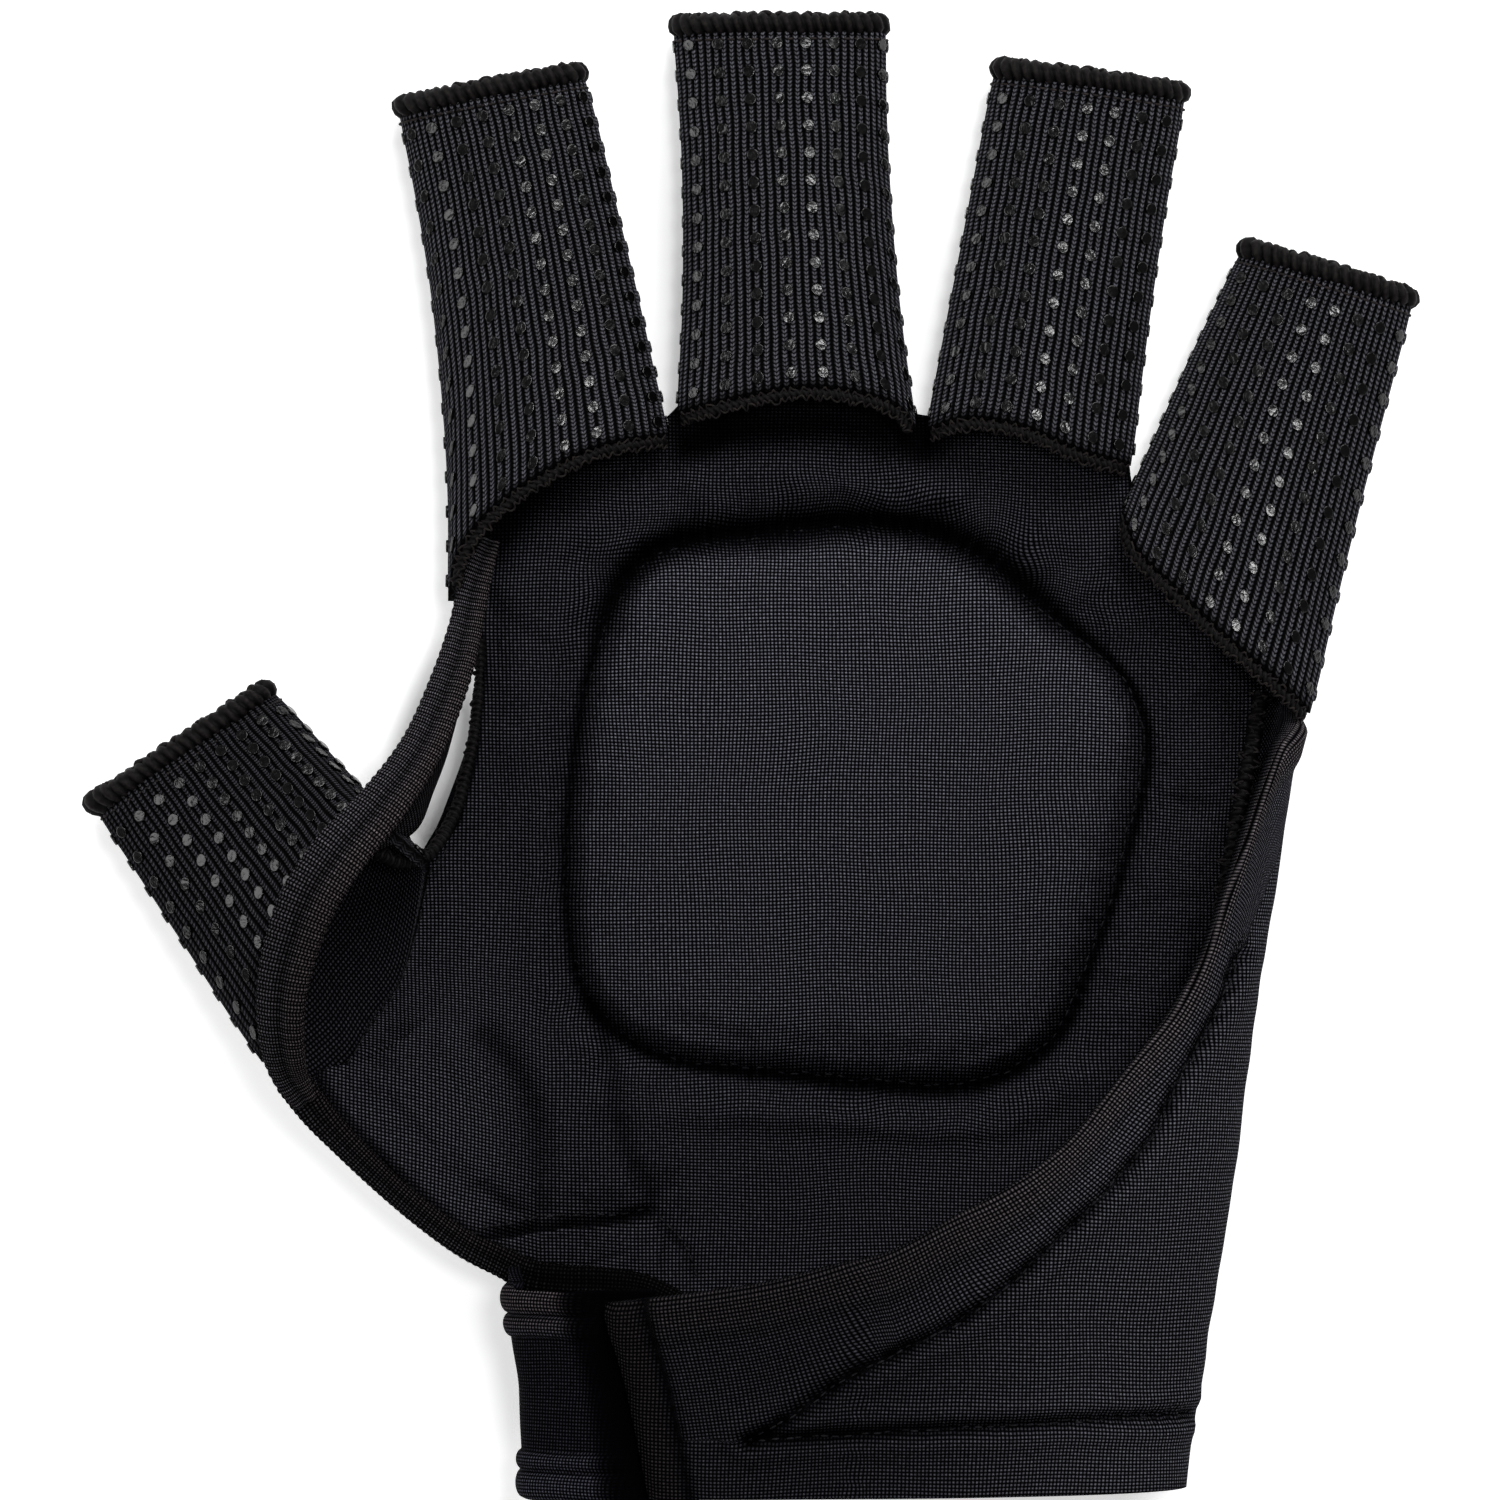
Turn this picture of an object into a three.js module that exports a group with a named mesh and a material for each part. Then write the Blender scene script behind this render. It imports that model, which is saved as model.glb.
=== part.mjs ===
// Field hockey glove for the left hand, open palm, half fingers, lying on its padded back.
// Millimetres. +Z points up out of the palm, +Y towards the finger tips, the thumb is at -X.

import * as THREE from 'three';

// Driving dimensions
const shellThickness = 5.5;
const shellEdgeThickness = 2.4;
const shellEdgeFade = 13;
const thumbRiseWidth = 20;
const rootBlend = 13;
const padCrown = 3.4;
const padEdge = 0.9;
const panelThickness = 2.8;
const gussetThickness = 1.6;
const gussetTuck = 7;
const gussetDepth = 4.7;
const tubeWall = 1.3;
const hemRadius = 1.35;
const seamRadius = 1.0;
const bandThickness = 2.2;
const edgingThickness = 1.8;
const seatGap = 0.35;

// The loop round heel and wrist is a flat oval whose lower half is squarer than its upper half
const upperPower = 2.6;
const lowerPower = 3.2;
const seamAngle = -32;
const panelStartAngle = -29.4;
const gussetEndAngle = 210.6;
const loopRows = [
  { y: -93.0, left: -29.4, right: 54.2, height: 25.0 },
  { y: -80.0, left: -29.8, right: 55.8, height: 26.5 },
  { y: -68.0, left: -31.2, right: 57.6, height: 28.5 },
  { y: -52.0, left: -31.0, right: 60.2, height: 30.0 },
  { y: -32.0, left: -31.0, right: 63.0, height: 28.0 },
  { y: -12.0, left: -31.0, right: 66.2, height: 24.0 },
  { y: 6.0, left: -31.0, right: 69.8, height: 19.0 },
];

// Free edge of the heel panel in plan, from the little finger down to the cuff gusset
const freeEdgePoints = [
  { x: 68.2, y: 1.4 },
  { x: 65.9, y: -4.8 },
  { x: 62.8, y: -12.3 },
  { x: 56.6, y: -26.1 },
  { x: 47.2, y: -38.6 },
  { x: 35.9, y: -51.1 },
  { x: 24.7, y: -57.9 },
  { x: 12.2, y: -63.3 },
  { x: -0.3, y: -66.3 },
  { x: -19.1, y: -68.8 },
];
const panelFoot = { atSeam: -91.6, atCuff: -93.0 };
const panelEndAngle = { atFoot: 122, atFreeEdge: 131 };
const panelShoulder = [
  { share: 0, y: 9.2 },
  { share: 0.1, y: 4.8 },
  { share: 0.2, y: 2.2 },
];

// Thumb side of the shell from the wrist up to the thumb, with the height of its underside
const thumbSideRows = [
  { x: -24.6, y: -92.0, z: 4.7, rightY: -92.0 },
  { x: -24.8, y: -84.0, z: 4.9, rightY: -84.0 },
  { x: -25.0, y: -76.0, z: 5.0, rightY: -76.0 },
  { x: -25.0, y: -70.0, z: 5.0, rightY: -70.0 },
  { x: -25.4, y: -66.2, z: 5.4, rightY: -65.5 },
  { x: -28.4, y: -65.4, z: 7.0, rightY: -62.0 },
  { x: -32.0, y: -64.2, z: 8.8, rightY: -58.5 },
  { x: -37.0, y: -61.4, z: 9.8, rightY: -54.5 },
  { x: -42.3, y: -57.2, z: 10.4, rightY: -50.0 },
  { x: -47.5, y: -52.1, z: 10.8, rightY: -45.5 },
  { x: -52.0, y: -47.4, z: 10.6, rightY: -41.5 },
];
const thumbSeatRows = [
  { share: 0.10, rightY: -37.5 },
  { share: 0.24, rightY: -33.5 },
  { share: 0.40, rightY: -29.5 },
  { share: 0.56, rightY: -25.0 },
  { share: 0.74, rightY: -20.0 },
  { share: 0.90, rightY: -15.0 },
  { share: 0.98, rightY: -11.0 },
];
const crotchRows = [
  { x: -38.4, y: -9.2, z: 10.2, rightY: -7.5 },
  { x: -37.6, y: -4.8, z: 8.6, rightY: -4.5 },
  { x: -36.4, y: 2.1, z: 6.6, rightY: -0.5 },
  { x: -35.1, y: 8.3, z: 4.6, rightY: 3.5 },
  { x: -34.6, y: 13.0, z: 4.0, rightY: 6.5 },
];

// Stitched outline of the pad in the hand
const padOutline = [
  { x: -12.8, y: 23.9 },
  { x: 2.0, y: 27.0 },
  { x: 18.4, y: 27.9 },
  { x: 27.5, y: 24.8 },
  { x: 37.2, y: 17.1 },
  { x: 46.5, y: 9.2 },
  { x: 49.1, y: 1.6 },
  { x: 46.6, y: -12.3 },
  { x: 42.2, y: -26.1 },
  { x: 37.2, y: -36.4 },
  { x: 28.4, y: -41.4 },
  { x: 5.9, y: -40.4 },
  { x: -12.8, y: -37.3 },
  { x: -20.8, y: -30.1 },
  { x: -23.2, y: -18.6 },
  { x: -22.2, y: -1.1 },
  { x: -19.1, y: 13.9 },
];
const padCentre = { x: 13.0, y: -6.5 };
const padRings = [0.35, 0.65, 0.85, 0.95, 1.0];

// Finger tubes: corners and base edges in plan, heights at base and tip
const tubes = {
  index: {
    tipLeft: [-44.3, 79.9], tipRight: [-21.1, 84.4], bowLeft: 2.0, bowRight: 0.1,
    palmEdge: [[-38.2, 18.9], [-37.2, 24.4], [-33.8, 29.2], [-27.8, 33.9], [-19.1, 38.2], [-10.6, 39.7]],
    backEdge: [[-38.2, 18.9], [-34.6, 25.0], [-30.2, 31.6], [-23.8, 37.6], [-16.6, 41.0], [-10.6, 39.7]],
    base: { leftZ: 7.6, rightZ: 7.2, height: 12.4 }, tip: { z: 6.0, height: 10.2 },
  },
  middle: {
    tipLeft: [-9.8, 90.2], tipRight: [16.7, 90.4], bowLeft: 1.1, bowRight: -1.2,
    palmEdge: [[-9.4, 42.4], [-1.6, 44.3], [6.6, 45.6], [13.4, 44.9], [18.4, 43.2], [20.6, 40.6]],
    backEdge: [[-9.4, 42.4], [-2.2, 47.2], [5.9, 48.7], [14.1, 47.2], [20.6, 40.6]],
    base: { leftZ: 7.2, rightZ: 7.2, height: 12.4 }, tip: { z: 6.0, height: 10.2 },
  },
  ring: {
    tipLeft: [30.4, 84.9], tipRight: [54.2, 81.7], bowLeft: 0, bowRight: -0.5,
    palmEdge: [[22.0, 40.4], [26.6, 41.7], [33.4, 40.8], [40.9, 37.7], [47.5, 35.9]],
    backEdge: [[22.0, 40.4], [27.8, 44.7], [34.7, 45.2], [41.6, 42.4], [47.5, 35.9]],
    base: { leftZ: 7.2, rightZ: 7.2, height: 12.4 }, tip: { z: 6.0, height: 10.2 },
  },
  little: {
    tipLeft: [61.3, 62.4], tipRight: [82.8, 55.8], bowLeft: -0.2, bowRight: -0.3,
    palmEdge: [[46.4, 29.9], [48.1, 25.4], [53.4, 19.9], [59.7, 13.9], [65.9, 8.7], [69.9, 4.8]],
    backEdge: [[46.4, 29.9], [51.8, 27.1], [59.1, 20.2], [65.5, 12.6], [69.9, 4.8]],
    base: { leftZ: 7.2, rightZ: 8.8, height: 12.4 }, tip: { z: 6.2, height: 10.2 },
  },
  thumb: {
    tipLeft: [-82.2, -7.6], tipRight: [-60.0, 7.2], bowLeft: 0, bowRight: 0,
    palmEdge: [[-61.3, -38.8], [-59.6, -31.1], [-57.6, -24.8], [-53.8, -16.7], [-47.6, -8.8], [-40.3, -13.8]],
    backEdge: [[-61.3, -38.8], [-56.6, -42.6], [-50.9, -38.8], [-47.8, -33.8], [-44.1, -28.6],
      [-42.2, -22.3], [-40.9, -16.7], [-40.3, -13.8]],
    base: { leftZ: 14.0, rightZ: 14.0, height: 15.5 }, tip: { z: 7.8, height: 10.2 },
  },
};
const tubeFullness = 0.72;
const tubeSides = 20;
const tubeRings = 5;
const hemSections = 24;

// Columns of the shell under each finger, as angles round the back half of its tube
const rootAngles = {
  index: [20, 36, 54, 72, 90, 108, 126, 160],
  middle: [20, 36, 54, 72, 90, 108, 126, 160],
  ring: [20, 36, 54, 72, 90, 108, 126, 160],
  little: [20, 36, 54, 72, 90, 108],
};

// Middle line of the web band with its width and how far its outer side dips, in degrees
const webBandRows = [
  { x: -33.4, y: 21.0, z: 8.4, width: 3.4, dip: 0 },
  { x: -34.8, y: 15.5, z: 9.4, width: 4.4, dip: 0 },
  { x: -37.0, y: 9.0, z: 12.4, width: 5.2, dip: 4 },
  { x: -40.9, y: 0.4, z: 16.4, width: 5.8, dip: 8 },
  { x: -46.0, y: -6.6, z: 20.6, width: 6.4, dip: 12 },
  { x: -51.2, y: -12.6, z: 23.4, width: 7.0, dip: 14 },
  { x: -55.1, y: -18.6, z: 24.2, width: 7.4, dip: 16 },
  { x: -57.6, y: -25.6, z: 23.8, width: 7.0, dip: 18 },
  { x: -58.6, y: -32.0, z: 22.4, width: 6.2, dip: 18 },
  { x: -58.4, y: -37.4, z: 19.8, width: 5.4, dip: 14 },
];
const edgingRows = [
  { x: -57.4, y: -41.4, z: 16.6, width: 3.6, dip: 4 },
  { x: -54.4, y: -45.0, z: 14.6, width: 4.0, dip: 4 },
  { x: -51.2, y: -48.4, z: 13.8, width: 4.2, dip: 4 },
  { x: -46.4, y: -52.9, z: 13.5, width: 4.2, dip: 4 },
  { x: -40.8, y: -57.7, z: 13.1, width: 4.2, dip: 4 },
  { x: -35.6, y: -61.5, z: 12.5, width: 4.2, dip: 4 },
  { x: -31.4, y: -63.9, z: 11.6, width: 3.6, dip: 4 },
];

// Rows of the cuff gusset down the wrist, with the bulge of its bindings
const gussetRows = [
  { y: -67.0, bulge: 0.7 },
  { y: -68.2, bulge: 1.3 },
  { y: -69.5, bulge: 0.3 },
  { y: -70.9, bulge: 1.2 },
  { y: -72.3, bulge: 0.0 },
  { y: -78.0, bulge: 0.0 },
  { y: -84.6, bulge: 0.0 },
  { y: -86.3, bulge: 0.9 },
  { y: -87.6, bulge: 0.1 },
  { y: -89.6, bulge: 1.1 },
  { y: -92.2, bulge: 1.0 },
  { y: -93.3, bulge: 0.3 },
];

const sideSeam = { angle: -26, topY: 7.5, footY: -89, inset: 4.6 };

// Finishes
const jersey = { color: '#1d1d21', roughness: 0.85, metalness: 0 };
const foamCloth = { color: '#202024', roughness: 0.8, metalness: 0 };
const ribKnit = { color: '#18181b', roughness: 0.8, metalness: 0 };
const overlockThread = { color: '#1b1817', roughness: 0.75, metalness: 0 };

const up = new THREE.Vector3(0, 0, 1);
const glove = new THREE.Group();

// Small helpers for numbers, tables and curves
const { lerp, clamp, smoothstep } = THREE.MathUtils;
const turn = (degrees) => THREE.MathUtils.degToRad(degrees);
const signedPower = (value, power) => Math.sign(value) * Math.abs(value) ** power;

function readTable(rows, key, column, at) {
  const rising = rows[rows.length - 1][key] > rows[0][key];
  const ordered = rising ? rows : [...rows].reverse();
  let i = 1;
  while (i < ordered.length - 1 && ordered[i][key] < at) i += 1;
  const low = ordered[i - 1];
  const high = ordered[i];
  const share = clamp((at - low[key]) / (high[key] - low[key]), 0, 1);
  return lerp(low[column], high[column], share);
}

function smoothCurve(points, pieces, closed = false) {
  const curve = new THREE.CatmullRomCurve3(points, closed, 'centripetal');
  return curve.getPoints(pieces);
}

// Two matching grids of points become one closed wall; rows that loop need no side faces
function wallGeometry(outer, inner, looped) {
  const rows = outer.length;
  const columns = outer[0].length;
  const positions = [...outer.flat(), ...inner.flat()].flatMap((point) => [point.x, point.y, point.z]);
  const at = (layer, i, j) => layer * rows * columns + i * columns + (j % columns);
  const faces = [];
  const quad = (a, b, c, d) => faces.push(a, b, c, a, c, d);
  const lastColumn = looped ? columns : columns - 1;
  for (let i = 0; i < rows - 1; i += 1) {
    for (let j = 0; j < lastColumn; j += 1) {
      quad(at(0, i, j), at(0, i, j + 1), at(0, i + 1, j + 1), at(0, i + 1, j));
      quad(at(1, i, j), at(1, i + 1, j), at(1, i + 1, j + 1), at(1, i, j + 1));
    }
  }
  for (let j = 0; j < lastColumn; j += 1) {
    quad(at(0, 0, j), at(1, 0, j), at(1, 0, j + 1), at(0, 0, j + 1));
    quad(at(0, rows - 1, j), at(0, rows - 1, j + 1), at(1, rows - 1, j + 1), at(1, rows - 1, j));
  }
  for (let i = 0; i < rows - 1 && !looped; i += 1) {
    quad(at(0, i, 0), at(0, i + 1, 0), at(1, i + 1, 0), at(1, i, 0));
    quad(at(0, i, columns - 1), at(1, i, columns - 1), at(1, i + 1, columns - 1), at(0, i + 1, columns - 1));
  }
  return closedGeometry(positions, faces);
}

// Faces are turned together so that the body's volume counts as positive
function closedGeometry(positions, faces) {
  const corner = (index) => new THREE.Vector3().fromArray(positions, index * 3);
  let volume = 0;
  for (let i = 0; i < faces.length; i += 3) {
    const [a, b, c] = [corner(faces[i]), corner(faces[i + 1]), corner(faces[i + 2])];
    volume += a.dot(b.cross(c)) / 6;
  }
  const geometry = new THREE.BufferGeometry();
  geometry.setAttribute('position', new THREE.Float32BufferAttribute(positions, 3));
  geometry.setIndex(volume > 0 ? faces : faces.reverse());
  geometry.computeVertexNormals();
  return geometry;
}

// Inner side of a sheet: each point goes in along the sheet's normal by its own thickness
function insetGrid(grid, thicknessAt, side, looped = false) {
  const rows = grid.length;
  const columns = grid[0].length;
  const pick = (i, j) => grid[clamp(i, 0, rows - 1)][
    looped ? (j + columns) % columns : clamp(j, 0, columns - 1)];
  return grid.map((row, i) => row.map((point, j) => {
    const along = pick(i + 1, j).clone().sub(pick(i - 1, j));
    const across = pick(i, j + 1).clone().sub(pick(i, j - 1));
    const normal = across.cross(along).normalize();
    return point.clone().addScaledVector(normal, side * thicknessAt(i, j));
  }));
}

// A closed section carried along a path; sectionAt gives points in the plane of side and lift
function sweptGeometry(path, reference, sectionAt, closed) {
  const count = path.length;
  const rings = path.map((point, i) => {
    const before = closed ? path[(i + count - 1) % count] : path[Math.max(i - 1, 0)];
    const after = closed ? path[(i + 1) % count] : path[Math.min(i + 1, count - 1)];
    const tangent = after.clone().sub(before).normalize();
    const side = reference.clone().cross(tangent).normalize();
    const lift = tangent.clone().cross(side);
    return sectionAt(i).map(([across, high]) => (
      point.clone().addScaledVector(side, across).addScaledVector(lift, high)));
  });
  const sides = rings[0].length;
  const positions = rings.flat().flatMap((point) => [point.x, point.y, point.z]);
  const faces = [];
  const lastRing = closed ? count : count - 1;
  for (let i = 0; i < lastRing; i += 1) {
    for (let j = 0; j < sides; j += 1) {
      const [a, b] = [i * sides + j, i * sides + (j + 1) % sides];
      const [c, d] = [((i + 1) % count) * sides + (j + 1) % sides, ((i + 1) % count) * sides + j];
      faces.push(a, b, c, a, c, d);
    }
  }
  for (let j = 1; j < sides - 1 && !closed; j += 1) {
    const end = (count - 1) * sides;
    faces.push(0, j + 1, j, end, end + j, end + j + 1);
  }
  return closedGeometry(positions, faces);
}

function roundSection(radius, sides) {
  return Array.from({ length: sides }, (_, k) => {
    const angle = (k + 0.5) * 2 * Math.PI / sides;
    return [radius * Math.cos(angle), radius * Math.sin(angle)];
  });
}

function addPiece(name, geometry, finish) {
  const piece = new THREE.Mesh(geometry, new THREE.MeshStandardMaterial(finish));
  piece.name = name;
  glove.add(piece);
}

// Heel and wrist loop: a point of its outside at an angle seen from the wrist, 0 at the little-finger side
function loopPoint(angle, y, inset = 0) {
  const left = readTable(loopRows, 'y', 'left', y);
  const right = readTable(loopRows, 'y', 'right', y);
  const halfHeight = readTable(loopRows, 'y', 'height', y) / 2;
  const cosine = Math.cos(turn(angle));
  const sine = Math.sin(turn(angle));
  const power = 2 / (sine < 0 ? lowerPower : upperPower);
  const x = (left + right) / 2 + ((right - left) / 2 - inset) * signedPower(cosine, power);
  return new THREE.Vector3(x, y, halfHeight + (halfHeight - inset) * signedPower(sine, power));
}

function loopAngle(x, y) {
  const left = readTable(loopRows, 'y', 'left', y);
  const right = readTable(loopRows, 'y', 'right', y);
  const share = (x - (left + right) / 2) / ((right - left) / 2);
  return THREE.MathUtils.radToDeg(Math.acos(signedPower(clamp(share, -1, 1), upperPower / 2)));
}

// A finger tube's base edge, read by the share of its width from its left to its right side
function edgeReader(tube, points) {
  const baseLeft = new THREE.Vector2(...tube.palmEdge[0]);
  const baseRight = new THREE.Vector2(...tube.palmEdge[tube.palmEdge.length - 1]);
  const tipMiddle = new THREE.Vector2(...tube.tipLeft).lerp(new THREE.Vector2(...tube.tipRight), 0.5);
  const axis = tipMiddle.sub(baseLeft.clone().add(baseRight).divideScalar(2)).normalize();
  const across = new THREE.Vector2(axis.y, -axis.x);
  const start = baseLeft.dot(across);
  const width = baseRight.dot(across) - start;
  const curve = smoothCurve(points.map(([x, y]) => new THREE.Vector3(x, y, 0)), 80);
  const rows = curve.map((point) => ({
    share: (point.x * across.x + point.y * across.y - start) / width, x: point.x, y: point.y,
  }));
  const read = (share) => new THREE.Vector2(
    readTable(rows, 'share', 'x', share), readTable(rows, 'share', 'y', share));
  return { read, axis };
}

// A point of a tube's outside: angle 0 at its left side, 90 on the palm side;
// length 0 at the base, 1 at the tip
function tubePoint(tube, angle, length) {
  const sine = Math.sin(turn(angle));
  const share = (1 - Math.cos(turn(angle))) / 2;
  const { read, axis } = edgeReader(tube, sine >= 0 ? tube.palmEdge : tube.backEdge);
  const base = read(share);
  const tipLeft = new THREE.Vector2(...tube.tipLeft);
  const tip = tipLeft.clone().lerp(new THREE.Vector2(...tube.tipRight), share);
  const bow = lerp(tube.bowLeft, tube.bowRight, share) * 4 * length * (1 - length);
  const plan = base.lerp(tip, length).add(new THREE.Vector2(axis.y, -axis.x).multiplyScalar(bow));
  const baseZ = lerp(tube.base.leftZ, tube.base.rightZ, share);
  const height = lerp(tube.base.height, tube.tip.height, length);
  const z = lerp(baseZ, tube.tip.z, length) + height / 2 * signedPower(sine, tubeFullness);
  return new THREE.Vector3(plan.x, plan.y, z);
}

const shareAt = (angle) => (1 - Math.cos(turn(angle))) / 2;
const backAngle = (share) => 360 - THREE.MathUtils.radToDeg(Math.acos(1 - 2 * share));

// Directions at a tube's base edge: outward from its wall, and away from the tube in the wall's own plane
function baseDirections(tube, angle) {
  const { axis } = edgeReader(tube, tube.palmEdge);
  const along = tubePoint(tube, angle + 2, 0).sub(tubePoint(tube, angle - 2, 0)).normalize();
  const outward = along.clone().cross(new THREE.Vector3(axis.x, axis.y, 0)).normalize();
  return { outward, away: along.cross(outward).normalize() };
}

// Where the shell meets the back half of a tube: the tube's base edge moved off by the seat gap
function tubeSeat(tube, share) {
  const angle = backAngle(share);
  return tubePoint(tube, angle, 0).addScaledVector(baseDirections(tube, angle).away, seatGap * 1.8);
}

function addTube(name, tube) {
  const outer = [];
  for (let i = 0; i <= tubeRings; i += 1) {
    const ring = [];
    for (let j = 0; j < tubeSides; j += 1) ring.push(tubePoint(tube, j * 360 / tubeSides, i / tubeRings));
    outer.push(ring);
  }
  const inner = insetGrid(outer, () => tubeWall, -1, true);
  addPiece(`${name}_tube`, wallGeometry(outer, inner, true), ribKnit);
}

// The hem is a roll just beyond the tube's tip, round the middle of its wall
function addTipHem(name, tube) {
  const { axis } = edgeReader(tube, tube.palmEdge);
  const direction = new THREE.Vector3(axis.x, axis.y, 0);
  const centre = new THREE.Vector3(
    (tube.tipLeft[0] + tube.tipRight[0]) / 2, (tube.tipLeft[1] + tube.tipRight[1]) / 2, tube.tip.z);
  const path = Array.from({ length: hemSections }, (_, k) => {
    const point = tubePoint(tube, k * 360 / hemSections, 1);
    const inward = centre.clone().sub(point).normalize();
    return point.addScaledVector(inward, tubeWall / 2).addScaledVector(direction, hemRadius + seatGap);
  });
  const section = roundSection(hemRadius, 6);
  addPiece(`${name}_tip_hem`, sweptGeometry(path, direction, () => section, true), overlockThread);
}

// The base seam is a roll along the palm-side base edge, just outside the end of the wall
function addBaseSeam(name, tube, firstAngle, lastAngle) {
  const { axis } = edgeReader(tube, tube.palmEdge);
  const direction = new THREE.Vector3(axis.x, axis.y, 0);
  const steps = 14;
  const path = Array.from({ length: steps + 1 }, (_, k) => {
    const angle = lerp(firstAngle, lastAngle, k / steps);
    const point = tubePoint(tube, angle, 0);
    const { outward, away } = baseDirections(tube, angle);
    return point.addScaledVector(outward, -tubeWall / 2).addScaledVector(away, seamRadius + seatGap);
  });
  const section = roundSection(seamRadius, 6);
  addPiece(`${name}_base_seam`, sweptGeometry(path, direction, () => section, false), overlockThread);
}

// Plan and underside of the shell: a patch stretched between its four edges
function shellGrid() {
  const seats = thumbSeatRows.map((row) => {
    const point = tubeSeat(tubes.thumb, row.share);
    return { x: point.x, y: point.y, z: point.z, rightY: row.rightY };
  });
  const cornerSeat = tubeSeat(tubes.index, shareAt(rootAngles.index[0]));
  const corner = { x: cornerSeat.x, y: cornerSeat.y, z: cornerSeat.z, rightY: panelShoulder[0].y };
  const leftRows = [...thumbSideRows, ...seats, ...crotchRows, corner];
  const left = leftRows.map((row) => new THREE.Vector3(row.x, row.y, row.z));
  const front = Object.entries(rootAngles).flatMap(([name, angles]) => (
    angles.map((angle) => tubeSeat(tubes[name], shareAt(angle)))));
  const right = leftRows.map((row) => loopPoint(seamAngle, row.rightY));
  right[right.length - 1] = front[front.length - 1].clone();
  const foot = front.map((_, j) => left[0].clone().lerp(right[0], j / (front.length - 1)));
  const frontShare = lengthShares(front);
  return leftRows.map((_, i) => front.map((_unused, j) => {
    const v = i / (leftRows.length - 1);
    const u = lerp(j / (front.length - 1), frontShare[j], v);
    const across = left[i].clone().lerp(right[i], u);
    const along = foot[j].clone().lerp(front[j], v);
    const footCorner = left[0].clone().lerp(right[0], u);
    const frontCorner = left[left.length - 1].clone().lerp(right[right.length - 1], u);
    const plan = across.add(along).sub(footCorner.lerp(frontCorner, v));
    if (i === leftRows.length - 1) plan.copy(front[j]);
    plan.z = shellUnderside(plan, left[i], right[i], front[j]);
    return plan;
  }));
}

function lengthShares(points) {
  const lengths = points.map((point, i) => (i ? point.distanceTo(points[i - 1]) : 0));
  const sums = lengths.map((_, i) => lengths.slice(0, i + 1).reduce((sum, part) => sum + part, 0));
  return sums.map((sum) => sum / sums[sums.length - 1]);
}

// Height of the shell's underside: flat in the middle, rising to its sides and to the finger roots
function shellUnderside(plan, left, right, front) {
  const { x, y } = plan;
  const loopLeft = readTable(loopRows, 'y', 'left', y);
  const loopRight = readTable(loopRows, 'y', 'right', y);
  const halfHeight = readTable(loopRows, 'y', 'height', y) / 2;
  const share = clamp((x - (loopLeft + loopRight) / 2) / ((loopRight - loopLeft) / 2), 0, 1);
  const oval = halfHeight * (1 - (1 - share ** lowerPower) ** (1 / lowerPower));
  const littleSide = oval * smoothstep(share, 0.55, 0.8);
  const fromLeft = Math.hypot(x - left.x, y - left.y);
  const thumbSide = left.z * (1 - clamp(fromLeft / thumbRiseWidth, 0, 1)) ** 2.2;
  const fromFront = Math.hypot(x - front.x, y - front.y);
  const rootShare = 1 - smoothstep(fromFront, 0, rootBlend);
  return lerp(Math.max(littleSide, thumbSide), front.z, rootShare);
}

function addShell() {
  const outer = shellGrid();
  const [lastRow, lastColumn] = [outer.length - 1, outer[0].length - 1];
  const inner = insetGrid(outer, (i, j) => {
    const point = outer[i][j];
    const sideDistance = Math.min(point.distanceTo(outer[i][0]), point.distanceTo(outer[i][lastColumn]));
    const endDistance = Math.min(point.distanceTo(outer[lastRow][j]), point.distanceTo(outer[0][j]));
    const inside = smoothstep(Math.min(sideDistance, endDistance), 0, shellEdgeFade);
    const edge = i === lastRow ? tubeWall : shellEdgeThickness;
    return lerp(edge, shellThickness, inside);
  }, 1);
  addPiece('back_shell', wallGeometry(outer, inner, false), jersey);
}

// The pad lies on the shell, lens-shaped, with a flat underside
function addPad() {
  const outlinePoints = padOutline.map(({ x, y }) => new THREE.Vector3(x, y, 0));
  const outline = smoothCurve(outlinePoints, 44, true).slice(0, -1);
  const floorZ = shellThickness + seatGap;
  const count = outline.length;
  const positions = [padCentre.x, padCentre.y, floorZ + padCrown];
  padRings.forEach((ring) => outline.forEach((point) => {
    const edgeDrop = smoothstep(ring, 0.8, 1) ** 1.5;
    const z = floorZ + lerp(padCrown - 0.5 * ring ** 2, padEdge, edgeDrop);
    positions.push(lerp(padCentre.x, point.x, ring), lerp(padCentre.y, point.y, ring), z);
  }));
  outline.forEach((point) => positions.push(point.x, point.y, floorZ));
  positions.push(padCentre.x, padCentre.y, floorZ);
  const ringCount = padRings.length + 1;
  const last = 1 + ringCount * count;
  const faces = [];
  for (let j = 0; j < count; j += 1) {
    const next = (j + 1) % count;
    faces.push(0, 1 + j, 1 + next);
    faces.push(last, last - count + next, last - count + j);
    for (let i = 0; i < ringCount - 1; i += 1) {
      const [a, b] = [1 + i * count + j, 1 + i * count + next];
      faces.push(a, a + count, b + count, a, b + count, b);
    }
  }
  addPiece('hand_pad', closedGeometry(positions, faces), jersey);
}

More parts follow.
